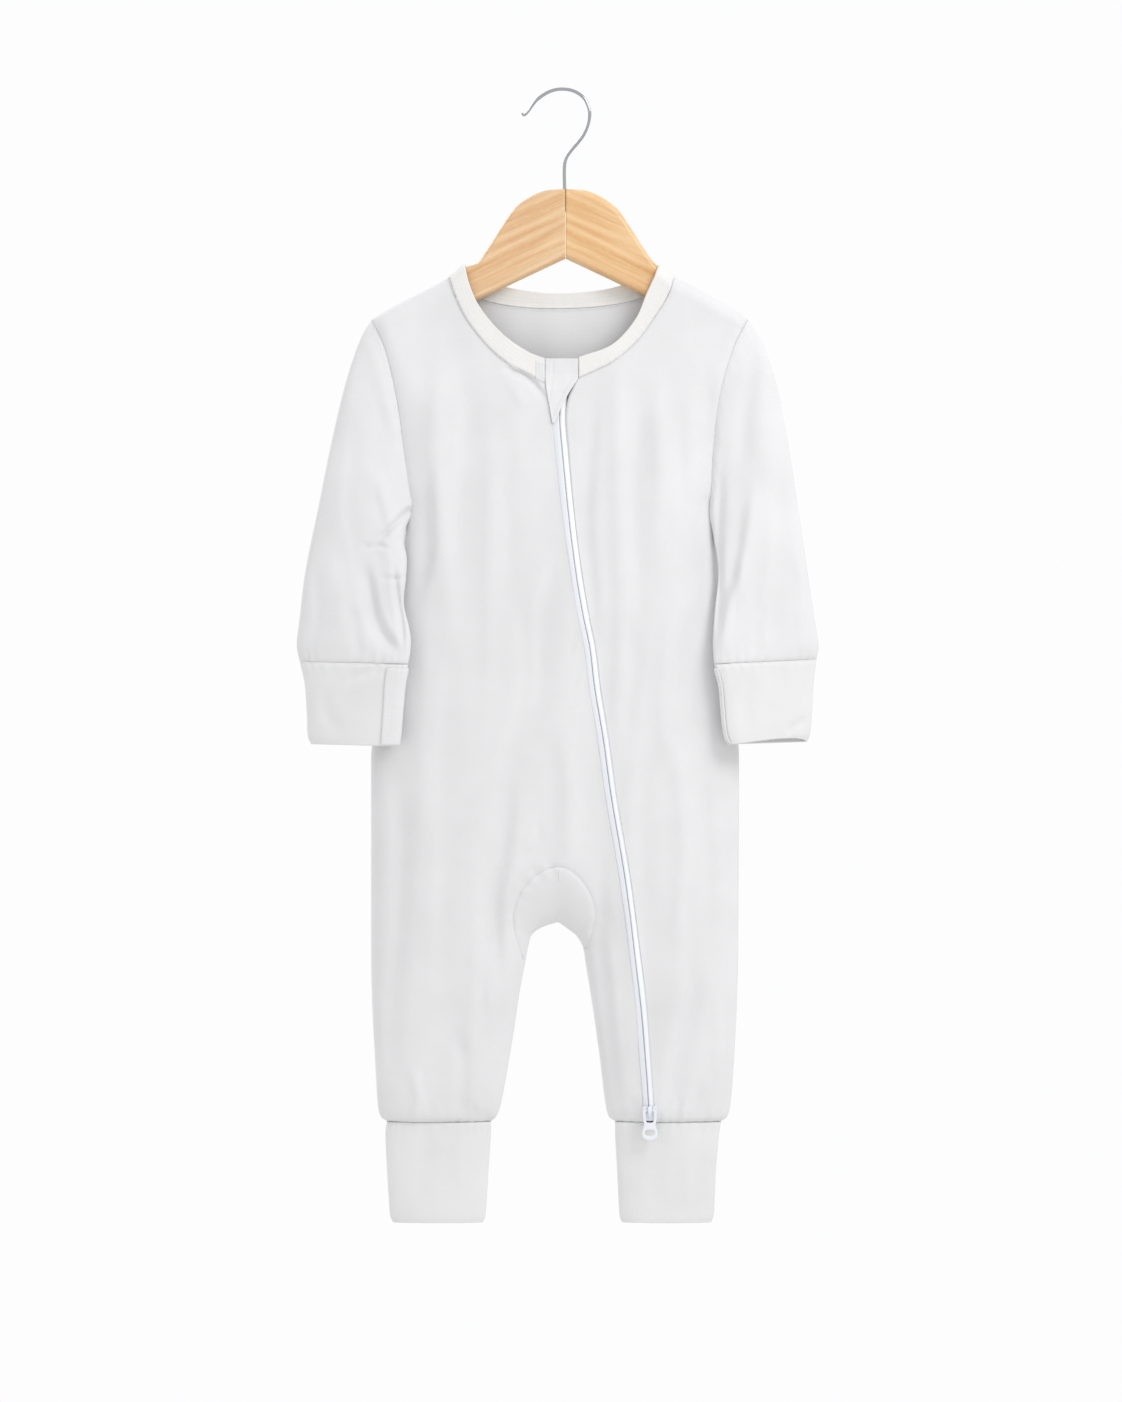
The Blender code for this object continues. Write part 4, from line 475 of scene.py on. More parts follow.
def creases(x, z, folds):
    """Sum of the folds. Across a fold: exp(-q^2) - 0.3 exp(-(q/2.3)^2), which raises soft shoulders beside it; its
    line bows by 4 bow t (1-t) and wavers a little, and both ends fade over a quarter of its length."""
    total = np.zeros_like(x)
    for number, f in enumerate(Fold(*row) for row in folds):
        dx = f.x2 - f.x1
        dz = f.z2 - f.z1
        length = np.hypot(dx, dz)
        t = ((x - f.x1) * dx + (z - f.z1) * dz) / length**2
        across = (x - f.x1) * -dz / length + (z - f.z1) * dx / length
        inside = np.clip(t, 0, 1)
        across = across - f.bow * 4 * inside * (1 - inside) - 0.22 * f.width * np.sin(7 * inside + 1.7 * number)
        q = across / (f.width * (1 + f.lean * np.tanh(across / f.width)))
        fade = np.clip((t + 0.14) / 0.36, 0, 1) * np.clip((1.14 - t) / 0.36, 0, 1)
        fade = fade * fade * (3 - 2 * fade)
        total += 1.25 * f.depth * fade * (bell(q) - 0.3 * bell(q / 2.3))
    return total


waves = np.random.default_rng(11)
WAVE_LONG = waves.uniform(16, 60, 22)
WAVE_TURN = waves.normal(0, 0.45, 22)
WAVE_START = waves.uniform(0, 6.28, (2, 22))


def unevenness(x, z, face):
    """The cloth's own long, mostly upright waves: a sum of sines, each as high as it is long."""
    kx = 2 * np.pi / WAVE_LONG * np.cos(WAVE_TURN)
    kz = 2 * np.pi / WAVE_LONG * np.sin(WAVE_TURN) * 0.5
    start = WAVE_START[0 if face == FRONT else 1]
    return (np.sin(x[..., None] * kx + z[..., None] * kz + start) * WAVE_LONG).sum(-1) * 0.0019


def arch_points(side, count=40):
    """The gusset seam from its top down to the inner leg."""
    arch = ARCH[side]
    a = np.radians(np.linspace(0, 90, count + 1))
    x = ARCH_X + side * arch.reach * np.sin(a) ** 1.12
    z = arch.low_z + (CROTCH_Z - arch.low_z) * np.cos(a) ** 1.12
    low = along(np.vstack([[x[-1], z[-1]], arch.returns]), np.linspace(0, 1, 15))
    return np.vstack([np.column_stack([x, z]), low[1:]])


def zip_x(z, column):
    return by_height(z, ZIP, column)


def armhole_line(side, steps):
    column = 1 if side == RIGHT else 2
    return along([(row[column], row[0]) for row in ARMHOLE], steps)


ZIP_Z = np.linspace(-178, -638, 90)
HEM_LINE = np.array([(-120.0, HEM_Z), (0.0, HEM_Z), (120.0, HEM_Z)])
FRACTION = np.linspace(0, 1, 60)
# Seams on each face: the line, its valley's depth and half width, and its puckers' height, spacing and reach.
Seam = namedtuple("Seam", "line dip wide pucker wave reach")
SEAMS = {
    FRONT: [
        (armhole_line(RIGHT, FRACTION), 0.32, 1.7, 0.13, 9.0, 7.0),
        (armhole_line(LEFT, FRACTION), 0.32, 1.7, 0.13, 8.0, 7.0),
        (along(NECK_SEAM[RIGHT], FRACTION), 0.08, 1.3, 0.07, 6.5, 4.0),
        (along(NECK_SEAM[LEFT], FRACTION), 0.08, 1.3, 0.07, 6.0, 4.0),
        (arch_points(RIGHT), 0.55, 1.3, 0.42, 10.5, 5.5),
        (arch_points(LEFT), 0.50, 1.3, 0.24, 9.5, 5.0),
        (np.column_stack([zip_x(ZIP_Z, 1), ZIP_Z]), -0.35, 1.5, 0.07, 13.0, 5.0),
        (np.column_stack([zip_x(ZIP_Z, 3), ZIP_Z]), -0.15, 1.5, 0.06, 12.0, 5.0),
        (HEM_LINE, 0.9, 1.4, 0.30, 6.2, 6.0),
    ],
    BACK: [
        (armhole_line(RIGHT, FRACTION), 0.32, 1.7, 0.15, 9.0, 7.0),
        (armhole_line(LEFT, FRACTION), 0.32, 1.7, 0.15, 8.0, 7.0),
        (along(NECK_SEAM[NAPE], FRACTION), 0.45, 1.2, 0.07, 6.5, 4.0),
        (arch_points(RIGHT), 0.55, 1.3, 0.34, 10.5, 5.5),
        (arch_points(LEFT), 0.55, 1.3, 0.30, 9.5, 5.0),
        (HEM_LINE, 0.9, 1.4, 0.28, 6.2, 6.0),
    ],
}


def seam_relief(x, z, face):
    """Each seam's valley, dip exp(-(d/wide)^2), and its puckers, which waver along it and die away from it."""
    total = np.zeros_like(x)
    for number, seam in enumerate(Seam(*row) for row in SEAMS[face]):
        low = seam.line.min(axis=0) - 12
        high = seam.line.max(axis=0) + 12
        near = (x > low[0]) & (x < high[0]) & (z > low[1]) & (z < high[1])
        if near.any():
            d, s = nearest(x[near], z[near], seam.line)
            turn = 2 * np.pi * s / seam.wave + 1.1 * np.sin(s / 11.0 + number) + 0.8 * np.sin(s / 29.0)
            fresh = 0.6 + 0.4 * np.sin(s / 17.0 + 2.0 * number)
            pucker = seam.pucker * fresh * np.sin(turn) * bell(d / seam.reach)
            total[near] += seam.dip * bell(d / seam.wide) + pucker
    return total


def stand_off(x, z, face):
    """How far the cloth's outer face stands from the middle plane."""
    out = np.minimum(x - side_x(RIGHT, z), side_x(LEFT, z) - x)
    eased = np.minimum(x - side_x(RIGHT, z, 1), side_x(LEFT, z, 1) - x)
    share = np.clip(out / 24, 0, 1)
    out = out + (eased - out) * share * share * (3 - 2 * share)
    above = (fold_line_z(x) - z) * 0.88
    inner = from_crotch(x, z)
    y = by_height(z, DEPTH, 1) * rounding(out, by_height(z, DEPTH, 2)) * rounding(inner, by_height(z, DEPTH, 3))
    y = y * rounding(above, SHOULDER_ROUND)
    edge = np.minimum(np.minimum(out, inner), above - 6)
    calm = rounding(edge, 22.0) * np.clip((-z - 150) / 40, 0, 1)
    slow = rounding(np.minimum(np.minimum(out, inner), above), 12.0)
    y = y - creases(x, z, FOLDS[face]) * calm - unevenness(x, z, face) * slow
    return np.maximum(y - seam_relief(x, z, face) * np.clip(y / 3, 0, 1), 0)


def on_silhouette(points):
    """True where a point lies on the side seam, the inner leg or the shoulder fold."""
    x, z = points.T
    out = np.minimum(x - side_x(RIGHT, z), side_x(LEFT, z) - x)
    return (out < 0.02) | (from_crotch(x, z) < 0.02) | (fold_line_z(x) - z < 0.02)


def point_normals(points, faces):
    """Each point's normal: the sum of the cross products of its faces' diagonals, made one long."""
    p = points[faces]
    turn = np.cross(p[:, 2] - p[:, 0], p[:, 3] - p[:, 1])
    total = np.zeros_like(points)
    np.add.at(total, faces.ravel(), np.repeat(turn, 4, axis=0))
    return unit(total)


def closed_wall(outer, inner, faces):
    """Points and faces of a wall: the outer face, the inner face turned round, and a quad along each open edge."""
    outer, inner = outer.reshape(-1, 3), inner.reshape(-1, 3)
    count = len(outer)
    pairs = np.stack([faces, np.roll(faces, -1, axis=1)], -1).reshape(-1, 2)
    ordered = np.sort(pairs, axis=1)
    _, first, times = np.unique(ordered[:, 0] * count + ordered[:, 1], return_index=True, return_counts=True)
    rim = pairs[first[times == 1]]
    rims = np.stack([rim[:, 1], rim[:, 0], rim[:, 0] + count, rim[:, 1] + count], -1)
    return np.vstack([outer, inner]), np.vstack([faces, faces[:, ::-1] + count, rims])


def jersey(name, tone, wale, course, relief):
    """Weft knit: upright columns of V-shaped loops, wale and course millimetres apart, drawn a little coarser than
    the real 0.7 mm so that they show. Height = |sin(2 pi u)| (0.6 + 0.4 sin(2 pi (v + |u|))), over soft slubs. The
    yarn's two tones vary at random in soft clouds. In the gaps between the loops the colour is darkened towards a
    third tone, which is painted shade."""
    knit = finish(name)
    place = node(knit, "SeparateXYZ", {0: node(knit, "UVMap", uv_map="cut")}).outputs
    u = node(knit, "Math", {0: place[0], 1: 1000 / wale}, operation="MULTIPLY")
    v = node(knit, "Math", {0: place[1], 1: 1000 / course}, operation="MULTIPLY")
    fold = node(knit, "Math", {0: u, 1: 0.5}, operation="PINGPONG")
    slant = node(knit, "Math", {0: fold, 1: 1.2, 2: v}, operation="MULTIPLY_ADD")
    turn = node(knit, "Math", {0: slant, 1: 6.2832}, operation="MULTIPLY")
    sine = node(knit, "Math", {0: turn}, operation="SINE")
    loop = node(knit, "Math", {0: sine, 1: 0.4, 2: 0.6}, operation="MULTIPLY_ADD")
    leg_turn = node(knit, "Math", {0: u, 1: 6.2832}, operation="MULTIPLY")
    leg = node(knit, "Math", {0: node(knit, "Math", {0: leg_turn}, operation="SINE")}, operation="ABSOLUTE")
    loops = node(knit, "Math", {0: leg, 1: loop}, operation="MULTIPLY")
    at = node(knit, "TexCoord").outputs["Object"]
    slub = node(knit, "TexNoise", {"Vector": at, "Scale": 420.0, "Detail": 3.0, "Roughness": 0.6})
    height = node(knit, "Math", {0: slub, 1: 0.9, 2: loops}, operation="MULTIPLY_ADD")
    bump = node(knit, "Bump", {"Height": height, "Strength": relief, "Distance": 0.00025})
    cloud = node(knit, "TexNoise", {"Vector": at, "Scale": 26.0, "Detail": 4.0, "Roughness": 0.55})
    shade = node(knit, "MapRange", {"Value": cloud, "From Min": 0.3, "From Max": 0.7})
    # painted shade: where the loops' height is low, in the gaps between them, the colour goes towards the darker
    # third tone
    gap = node(knit, "MapRange", {"Value": loops, "From Max": 0.5, "To Min": 0.35, "To Max": 0.0})
    light, dark, deep = (linear(code) for code in tone)
    base = node(knit, "Mix", {0: shade, 6: light, 7: dark}, data_type="RGBA").outputs[2]
    colour = node(knit, "Mix", {0: gap, 6: base, 7: deep}, data_type="RGBA").outputs[2]
    yarn = {"Roughness": 0.86, "Specular IOR Level": 0.28, "Sheen Weight": 0.18, "Sheen Roughness": 0.45}
    return surface(knit, {"Base Color": colour, "Normal": bump, **yarn})


# Tones: the yarn's light and dark, which vary at random, and a darker one painted as shade between the loops.
WHITE_JERSEY = jersey("off-white single jersey", ("#E2E2E3", "#DCDCDD", "#CBCBCB"), 1.1, 1.3, 0.22)

COLUMNS = 74
ZIP_COLUMNS = 26
LEFT_COLUMNS = 60
ARM_ROWS = 72
CHEST_ROWS = 118
LEG_ROWS = 60


def cosine(n):
    """n + 1 fractions from 0 to 1, close together at both ends."""
    return (1 - np.cos(np.pi * np.arange(n + 1) / n)) / 2


ARM_STEPS = cosine(ARM_ROWS)
SIDE_STEPS = 0.94 * cosine(COLUMNS) + 0.06 * np.arange(COLUMNS + 1) / COLUMNS


def offset_line(points, offset):
    """A line moved sideways in its plane: to its left-hand side for a positive offset."""
    run = unit(np.gradient(points, axis=0))
    return points + offset * np.column_stack([-run[:, 1], run[:, 0]])


def arm_line(side, offset):
    """The armhole seam moved out towards the sleeve."""
    return offset_line(armhole_line(side, ARM_STEPS), side * offset)


def neck_fractions(n):
    """Fractions from the shoulder fold to the zip, a little closer over the fold."""
    return (np.arange(n + 1) / n) ** 1.12


def top_line(side, shoulder, neck):
    """A front panel's top: up the shoulder fold, then down the neckline."""
    fold = along(SHOULDER[side][:0:-1], np.linspace(0, 1, shoulder + 1))
    fold[:, 1] = fold_line_z(fold[:, 0])
    seam = offset_line(along(NECK_SEAM[side][::-1], neck_fractions(neck)), side * HALF_GAP)
    seam[0] = fold[-1]
    return np.vstack([fold, seam[1:]])


def patch(top, bottom, left, right, u, v):
    """Rows that blend the top line into the bottom one; the side lines' own curves fade as (1-u)^3 and u^3."""
    u = u[None, :, None]
    v = v[:, None, None]
    bow_left = left[:, None] - (1 - v) * top[0] - v * bottom[0]
    bow_right = right[:, None] - (1 - v) * top[-1] - v * bottom[-1]
    return (1 - v) * top + v * bottom + (1 - u) ** 3 * bow_left + u**3 * bow_right


def between(start, end, z, u):
    """Rows at the heights z, from x = start to x = end at the fractions u."""
    x = start[:, None] + (end - start)[:, None] * u
    return np.stack([x, np.repeat(z[:, None], len(u), axis=1)], -1)


CHEST_Z = np.linspace(UNDERARM_Z, CROTCH_Z, CHEST_ROWS + 1)[1:]


def chest_grid(top, arm, column, u, side):
    """A front panel from its top line to the gusset's top, from the side seam to the zip."""
    zip_z = top[-1, 1] + (UNDERARM_Z - top[-1, 1]) * ARM_STEPS
    zip_line = np.column_stack([zip_x(zip_z, column), zip_z])
    zip_line[0] = top[-1]
    bottom_x = arm[-1, 0] + (zip_line[-1, 0] - arm[-1, 0]) * u
    upper = patch(top, np.column_stack([bottom_x, np.full(len(u), UNDERARM_Z)]), arm, zip_line, u, ARM_STEPS)
    return np.vstack([upper, between(side_x(side, CHEST_Z), zip_x(CHEST_Z, column), CHEST_Z, u)])


def slit_line(side):
    """The panels' edge along the gusset's seam, then down the inner leg to the hem."""
    arch = arch_points(side)
    run = np.gradient(arch, axis=0)
    run[0] = (side, 0.0)
    run = unit(run)
    seam = (arch + HALF_GAP * side * np.column_stack([-run[:, 1], run[:, 0]]))[1:-1]
    seam = seam[seam[:, 1] < CROTCH_Z - 0.3]
    low = seam[-1, 1] - 1.2
    z = low + (HEM_Z + HALF_GAP - low) * (0.45 * cosine(LEG_ROWS) + 0.55 * np.arange(LEG_ROWS + 1) / LEG_ROWS)
    return np.vstack([seam, np.column_stack([inseam_x(side, z), z])])


def slit_panel(upper, right_block, left_block):
    """Points and faces of a panel whose columns part at the gusset: the rows above it, then each leg's rows."""
    rows, cols = upper.shape[:2]
    index = np.arange(rows * cols).reshape(rows, cols)
    right = rows * cols + np.arange(right_block[..., 0].size).reshape(right_block.shape[:2])
    left = right.max() + 1 + np.arange(left_block[..., 0].size).reshape(left_block.shape[:2])
    right = np.vstack([index[-1, COLUMNS::-1], right])
    left = np.vstack([index[-1, COLUMNS:], left])
    faces = [index.ravel()[net(rows, cols)[0]]]
    faces.append(right.ravel()[net(*right.shape)[0]][:, ::-1])
    faces.append(left.ravel()[net(*left.shape)[0]])
    points = np.vstack([upper.reshape(-1, 2), right_block.reshape(-1, 2), left_block.reshape(-1, 2)])
    return points, np.vstack(faces)


def hung_panel(name, flat, faces, face, replaces):
    """A panel's wall: y = +-(stand_off + gap) over its (x, z) points, and the inner face one thickness behind."""
    x, z = flat.T
    outer = np.column_stack([x, face * (stand_off(x, z, face) + HALF_GAP), z])
    rim = on_silhouette(flat)
    outer[rim, 1] = face * HALF_GAP
    normal = point_normals(outer, faces)
    if (normal[:, 1] * face).sum() < 0:
        normal = -normal
    normal[rim, 1] = 0.0
    normal[np.isclose(z, HEM_Z + HALF_GAP), 2] = 0.0
    points, faces = closed_wall(outer, outer - CLOTH * unit(normal), faces)
    piece = add_piece(name, points, faces, WHITE_JERSEY, flat[faces % len(flat)])
    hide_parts(replaces)


# Columns from the gusset's middle to the zip, close at the middle and at the zip's turned edge.
ZIP_STEPS = cosine(ZIP_COLUMNS)
SLIT = {side: slit_line(side) for side in NAMED}
right_leg = between(SLIT[RIGHT][:, 0], side_x(RIGHT, SLIT[RIGHT][:, 1]), SLIT[RIGHT][:, 1], SIDE_STEPS)
zip_edge = zip_x(CROTCH_Z, 1)
side_start = side_x(RIGHT, CROTCH_Z)
part = (ARCH_X - side_start) / (zip_edge - side_start)
front_u = np.concatenate([SIDE_STEPS * part, part + (1 - part) * ZIP_STEPS[1:]])
shoulder_columns = 34
front_top = top_line(RIGHT, shoulder_columns, len(front_u) - 1 - shoulder_columns)
front_upper = chest_grid(front_top, arm_line(RIGHT, -HALF_GAP), 1, front_u, RIGHT)
front_upper[-1, COLUMNS, 1] += HALF_GAP
strip = between(SLIT[LEFT][:, 0], zip_x(SLIT[LEFT][:, 1], 1), SLIT[LEFT][:, 1], ZIP_STEPS)
front_flat, front_faces = slit_panel(front_upper, right_leg, strip)
hung_panel("right_front_panel", front_flat, front_faces, FRONT, "front_right")

left_u = 0.88 * cosine(LEFT_COLUMNS) + 0.12 * np.arange(LEFT_COLUMNS + 1) / LEFT_COLUMNS
left_top = top_line(LEFT, 24, LEFT_COLUMNS - 24)
left_upper = chest_grid(left_top, arm_line(LEFT, -HALF_GAP), 3, left_u, LEFT)
left_leg_z = CROTCH_Z + (HEM_Z + HALF_GAP - CROTCH_Z) * (1 - (1 - np.linspace(0, 1, 84)[1:]) ** 1.25)
left_grid = np.vstack([left_upper, between(side_x(LEFT, left_leg_z), zip_x(left_leg_z, 3), left_leg_z, left_u)])
left_faces = net(*left_grid.shape[:2])[0]
hung_panel("left_front_panel", left_grid.reshape(-1, 2), left_faces, FRONT, "front_left")

back_part = (ARCH_X - side_start) / (side_x(LEFT, CROTCH_Z) - side_start)
back_u = np.concatenate([SIDE_STEPS * back_part, back_part + (1 - back_part) * SIDE_STEPS[1:]])
back_shoulder = 36
back_right = along(SHOULDER[RIGHT][:0:-1], np.linspace(0, 1, back_shoulder + 1))
back_left = along(SHOULDER[LEFT][1:], np.linspace(0, 1, back_shoulder + 1))
back_right[:, 1] = fold_line_z(back_right[:, 0])
back_left[:, 1] = fold_line_z(back_left[:, 0])
back_seam = offset_line(along(NECK_SEAM[NAPE], np.linspace(0, 1, 2 * COLUMNS - 2 * back_shoulder + 1)), -HALF_GAP)
back_top = np.vstack([back_right, back_seam[1:-1], back_left])
back_arms = {side: arm_line(side, -HALF_GAP) for side in (RIGHT, LEFT)}
back_low_x = back_arms[RIGHT][-1, 0] + (back_arms[LEFT][-1, 0] - back_arms[RIGHT][-1, 0]) * back_u
back_low = np.column_stack([back_low_x, np.full(len(back_u), UNDERARM_Z)])
back_upper = patch(back_top, back_low, back_arms[RIGHT], back_arms[LEFT], back_u, ARM_STEPS)
back_upper = np.vstack([back_upper, between(side_x(RIGHT, CHEST_Z), side_x(LEFT, CHEST_Z), CHEST_Z, back_u)])
back_upper[-1, COLUMNS, 1] += HALF_GAP
left_leg = between(SLIT[LEFT][:, 0], side_x(LEFT, SLIT[LEFT][:, 1]), SLIT[LEFT][:, 1], SIDE_STEPS)
back_flat, back_faces = slit_panel(back_upper, right_leg, left_leg)
hung_panel("back_panel", back_flat, back_faces, BACK, "back")

# ============================================================ the crotch gusset
# A small oval of the same jersey, folded under the crotch from front to back. Its seams are overlocked and the
# bias edges pull into short oblique puckers.
GUSSET_ROWS = 46
TAIL_ROWS = 34
GUSSET_COLUMNS = 26


def gusset_grid(side, face):
    """One quarter: rows from under the arch's top to the tail's end, columns from the middle, and below the crotch
    from the inner leg, out to the seam."""
    arch = arch_points(side)
    arch = arch[np.argsort(arch[:, 1])]
    t = 1 - np.cos(np.linspace(0, np.pi / 2, GUSSET_ROWS + 1))
    z = CROTCH_Z - 0.06 + (INSEAM_Z[0] - CROTCH_Z + 0.06) * t
    z = np.concatenate([z, np.linspace(INSEAM_Z[0], arch[0, 1] + 0.4, TAIL_ROWS + 1)[1:]])
    start = np.where(z >= INSEAM_Z[0] - 1e-6, ARCH_X, inseam_x(side, z))
    columns = np.sin(np.linspace(0, np.pi / 2, GUSSET_COLUMNS + 1))
    x, zz = np.moveaxis(between(start, np.interp(z, arch[:, 1], arch[:, 0]), z, columns), -1, 0)
    flat = x.ravel(), zz.ravel()
    rise = 0.7 * rounding(np.minimum(nearest(*flat, arch)[0], from_crotch(*flat)), 9.0)
    y = (stand_off(*flat, face) + HALF_GAP + rise).reshape(x.shape)
    y[z <= INSEAM_Z[0] + 1e-6, 0] = 0.0
    return np.stack([x, face * y, zz], -1)


def gusset():
    """The four quarters joined where their points meet, then given their thickness as one wall."""
    points = []
    faces = []
    for side in (RIGHT, LEFT):
        for face in (FRONT, BACK):
            grid = gusset_grid(side, face)
            part_of = net(*grid.shape[:2])[0]
            if side * face > 0:
                part_of = part_of[:, ::-1]
            faces.append(part_of + sum(len(p) for p in points))
            points.append(grid.reshape(-1, 3))
    points = np.vstack(points)
    _, first, place = np.unique(np.round(points, 5), axis=0, return_index=True, return_inverse=True)
    faces = place.reshape(-1)[np.vstack(faces)]
    outer = points[first]
    normal = point_normals(outer, faces)
    if (normal[:, 1] * outer[:, 1]).sum() < 0:
        normal = -normal
    whole, faces = closed_wall(outer, outer - CLOTH * normal, faces)
    piece = add_piece("crotch_gusset_cloth", whole, faces, WHITE_JERSEY, whole[faces][..., [0, 2]])
    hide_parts("crotch_gusset")


gusset()

# ============================================================ the sleeves
# One piece of the same jersey each, set in with an overlocked armhole seam that shows as a soft valley. They hang
# beside the body as flattened tubes, tucked under the arm and creased above the cuffs.
Ring = namedtuple("Ring", "out_x out_z out_y in_x in_z in_y depth curve", defaults=(0,))
SLEEVE = {
    RIGHT: [
        (-121.5, -149.5, -0.5, -94.9, -262, -1, 8.4, 0.85), (-127, -162.5, -1, -95.35, -266.5, -2.3, 8.7, 0.60),
        (-134.2, -186, -2, -95.9, -270.5, -4, 8.9, 0.35), (-142.6, -222.6, -3, -95, -277, -7.5, 9, 0.12),
        (-150, -259.8, -4, -94.2, -287, -11, 9), (-157.5, -297, -5, -94.6, -301.5, -13.5, 9),
        (-161.2, -326.7, -5.5, -93.4, -322, -17, 9), (-163, -343.5, -6, -91.8, -342.5, -20.5, 8.8),
        (-161, -353.9, -6, -93.5, -355.5, -22, 7.8),
    ],
    LEFT: [
        (121.5, -149, -0.5, 94.6, -262, -1, 8.4, 0.85), (127, -160, -1, 95, -266.5, -2.3, 8.7, 0.60),
        (135, -185.4, -2, 95.5, -271, -4, 8.9, 0.35), (142, -222.6, -3, 95.6, -280, -7, 9, 0.12),
        (147.6, -259.8, -4, 96.3, -290.8, -10, 9), (153.1, -297, -5, 96.1, -307, -12.5, 9),
        (157.5, -326.7, -5.5, 95, -327, -16.5, 9), (160, -343.5, -6, 94.2, -343.5, -20, 8.8),
        (158.7, -352.4, -6, 94.9, -355.4, -22, 7.8),
    ],
}
SLEEVE_FOLDS = {
    (RIGHT, FRONT): [
        (-119, -152, -100, -212, 5, -1.4, 1), (-113, -280.5, -88, -257, 2.3, 3.4, 1.5, -0.3),
        (-121.5, -282.5, -106, -283.5, 1.7, 1.7, 0.5), (-109.5, -302.8, -96, -301.3, 1.6, 1.6, -0.5),
        (-120.5, -297, -101, -349, 4.6, 3.6, -3, -0.35), (-102.5, -298, -97, -345, 2, 2.6, 1),
        (-139, -290, -142, -348, 7, -1.3, 1.5), (-117, -235, -101, -300, 5.5, -1.1, 2),
        (-128, -210, -124, -300, 6, 0.9, -2, 0.3), (-114.5, -243, -99, -301, 3.2, 0.7, -1),
        (-150, -300, -153, -348, 4, 0.8, 1), (-129, -322, -123, -352, 3.5, 0.8, 1),
    ],
    (RIGHT, BACK): [
        (-124, -180, -135, -330, 7, -1.3, 2), (-106, -262, -128, -340, 5, -1.5, -2),
        (-114, -215, -98, -270, 4, 1, 2), (-145, -285, -148, -350, 5, 1, 1),
    ],
    (LEFT, FRONT): [
        (112.5, -290, 96.8, -349, 5, -2.8, 1.5, 0.3), (98.5, -240, 96.5, -346, 3.2, 2.3, 1),
        (121, -250, 103, -324, 5.5, -2.3, 2, 0.3), (138, -245, 134, -348, 7.5, 1.6, -2, 0.3),
        (118, -160, 112, -235, 6, 1.3, 1.5), (113.5, -262, 106, -335, 3.5, 0.9, -1, -0.3),
        (128, -190, 127, -330, 6, -0.8, 2), (148, -290, 150, -348, 4.5, -0.9, 1),
        (124, -318, 120, -352, 3.5, 0.8, 1), (134, -170, 143, -250, 4.5, 0.7, -1),
    ],
    (LEFT, BACK): [
        (124, -180, 136, -330, 7, -1.2, -2), (107, -265, 126, -342, 5, -1.5, 2), (114, -215, 99, -272, 4, 1, -2),
        (146, -285, 148, -350, 5, 1, -1),
    ],
}
# The inner edge's bulges towards the body and its tucks: height, half height, push.
ELBOW = {
    RIGHT: [(-255, 12, 5.2), (-281, 7, -1.8), (-318, 12, -2.6)],
    LEFT: [(-262, 14, 2.4), (-300, 16, -1.5)],
}
FULLNESS = 0.75
SLEEVE_ROWS = 112
AROUND = 2 * ARM_ROWS
ANGLES = 2 * np.pi * np.arange(AROUND) / AROUND


def ring_points(row, side):
    """A flattened ring from its outer fold over the front to the inner fold: y = -depth sin(a)^FULLNESS."""
    ring = Ring(*row)
    c = (1 - np.cos(ANGLES)) / 2
    out = np.array([ring.out_x, ring.out_y, ring.out_z])
    inn = np.array([ring.in_x, ring.in_y, ring.in_z])
    p = out + c[:, None] * (inn - out)
    p[:, 1] -= ring.depth * np.sign(np.sin(ANGLES)) * np.abs(np.sin(ANGLES)) ** FULLNESS
    if ring.curve:
        seam = armhole_line(side, ARM_STEPS)
        bow = seam - (seam[0] + ARM_STEPS[:, None] * (seam[-1] - seam[0]))
        p[:, [0, 2]] += ring.curve * np.vstack([bow, bow[-2:0:-1]])
    return p


def through(rings, steps):
    """Rings at the steps of a smooth curve through the table's rings, point by point."""
    keys = np.array(rings)
    flat = keys.reshape(len(keys), -1)
    slopes = np.gradient(keys, axis=0).reshape(flat.shape)
    return hermite(steps, np.arange(len(keys), dtype=float), flat, slopes).reshape(len(steps), -1, 3)


def ring_normals(grid):
    """Outward normals of a closed-round grid: round x down, level at both ends."""
    around = np.roll(grid, -1, axis=1) - np.roll(grid, 1, axis=1)
    normal = unit(np.cross(around, np.gradient(grid, axis=0)))
    if (normal * (grid - grid.mean(axis=1, keepdims=True))).sum() < 0:
        normal = -normal
    normal[[0, -1], :, 2] = 0.0
    return unit(normal)


def round_uv(grid, inner):
    """Faces of a tube's outer rows, an optional round lip and its inner rows, and their places on the flat cloth."""
    whole = np.concatenate([grid, inner[::-1]])
    faces, row, col = net(*whole.shape[:2], wrap_rows=True, wrap_cols=True)
    middle = grid[len(grid) // 2]
    u = travelled(np.vstack([middle, middle[:1]]))
    v = travelled(whole.mean(axis=1))
    v = np.append(v, v[-1] + 1)
    return whole, faces, np.stack([u[col], -v[row]], -1)


def lipped(grid, normal, thick, steps=7):
    """Outer rows, then a half-round lip below the last row, and inner rows, for a folded knit edge."""
    a = np.linspace(0, np.pi, steps + 2)[1:-1, None, None]
    centre = grid[-1] - normal[-1] * thick / 2
    down = np.array([0.0, 0.0, -1.0])
    lip = centre + thick / 2 * (np.cos(a) * normal[-1] + np.sin(a) * down)
    return np.concatenate([grid, lip]), grid - thick * normal


def front_skin(flat, face):
    """Points on a face's outer side and their normals: the gradient of face * y - stand_off(x, z)."""
    x, z = flat.T
    s = stand_off(x, z, face)
    slope_x = (stand_off(x + 0.2, z, face) - stand_off(x - 0.2, z, face)) / 0.4
    slope_z = (stand_off(x, z + 0.2, face) - stand_off(x, z - 0.2, face)) / 0.4
    normal = unit(np.column_stack([-slope_x, np.full(len(x), float(face)), -slope_z]))
    return np.column_stack([x, face * (s + HALF_GAP), z]), normal


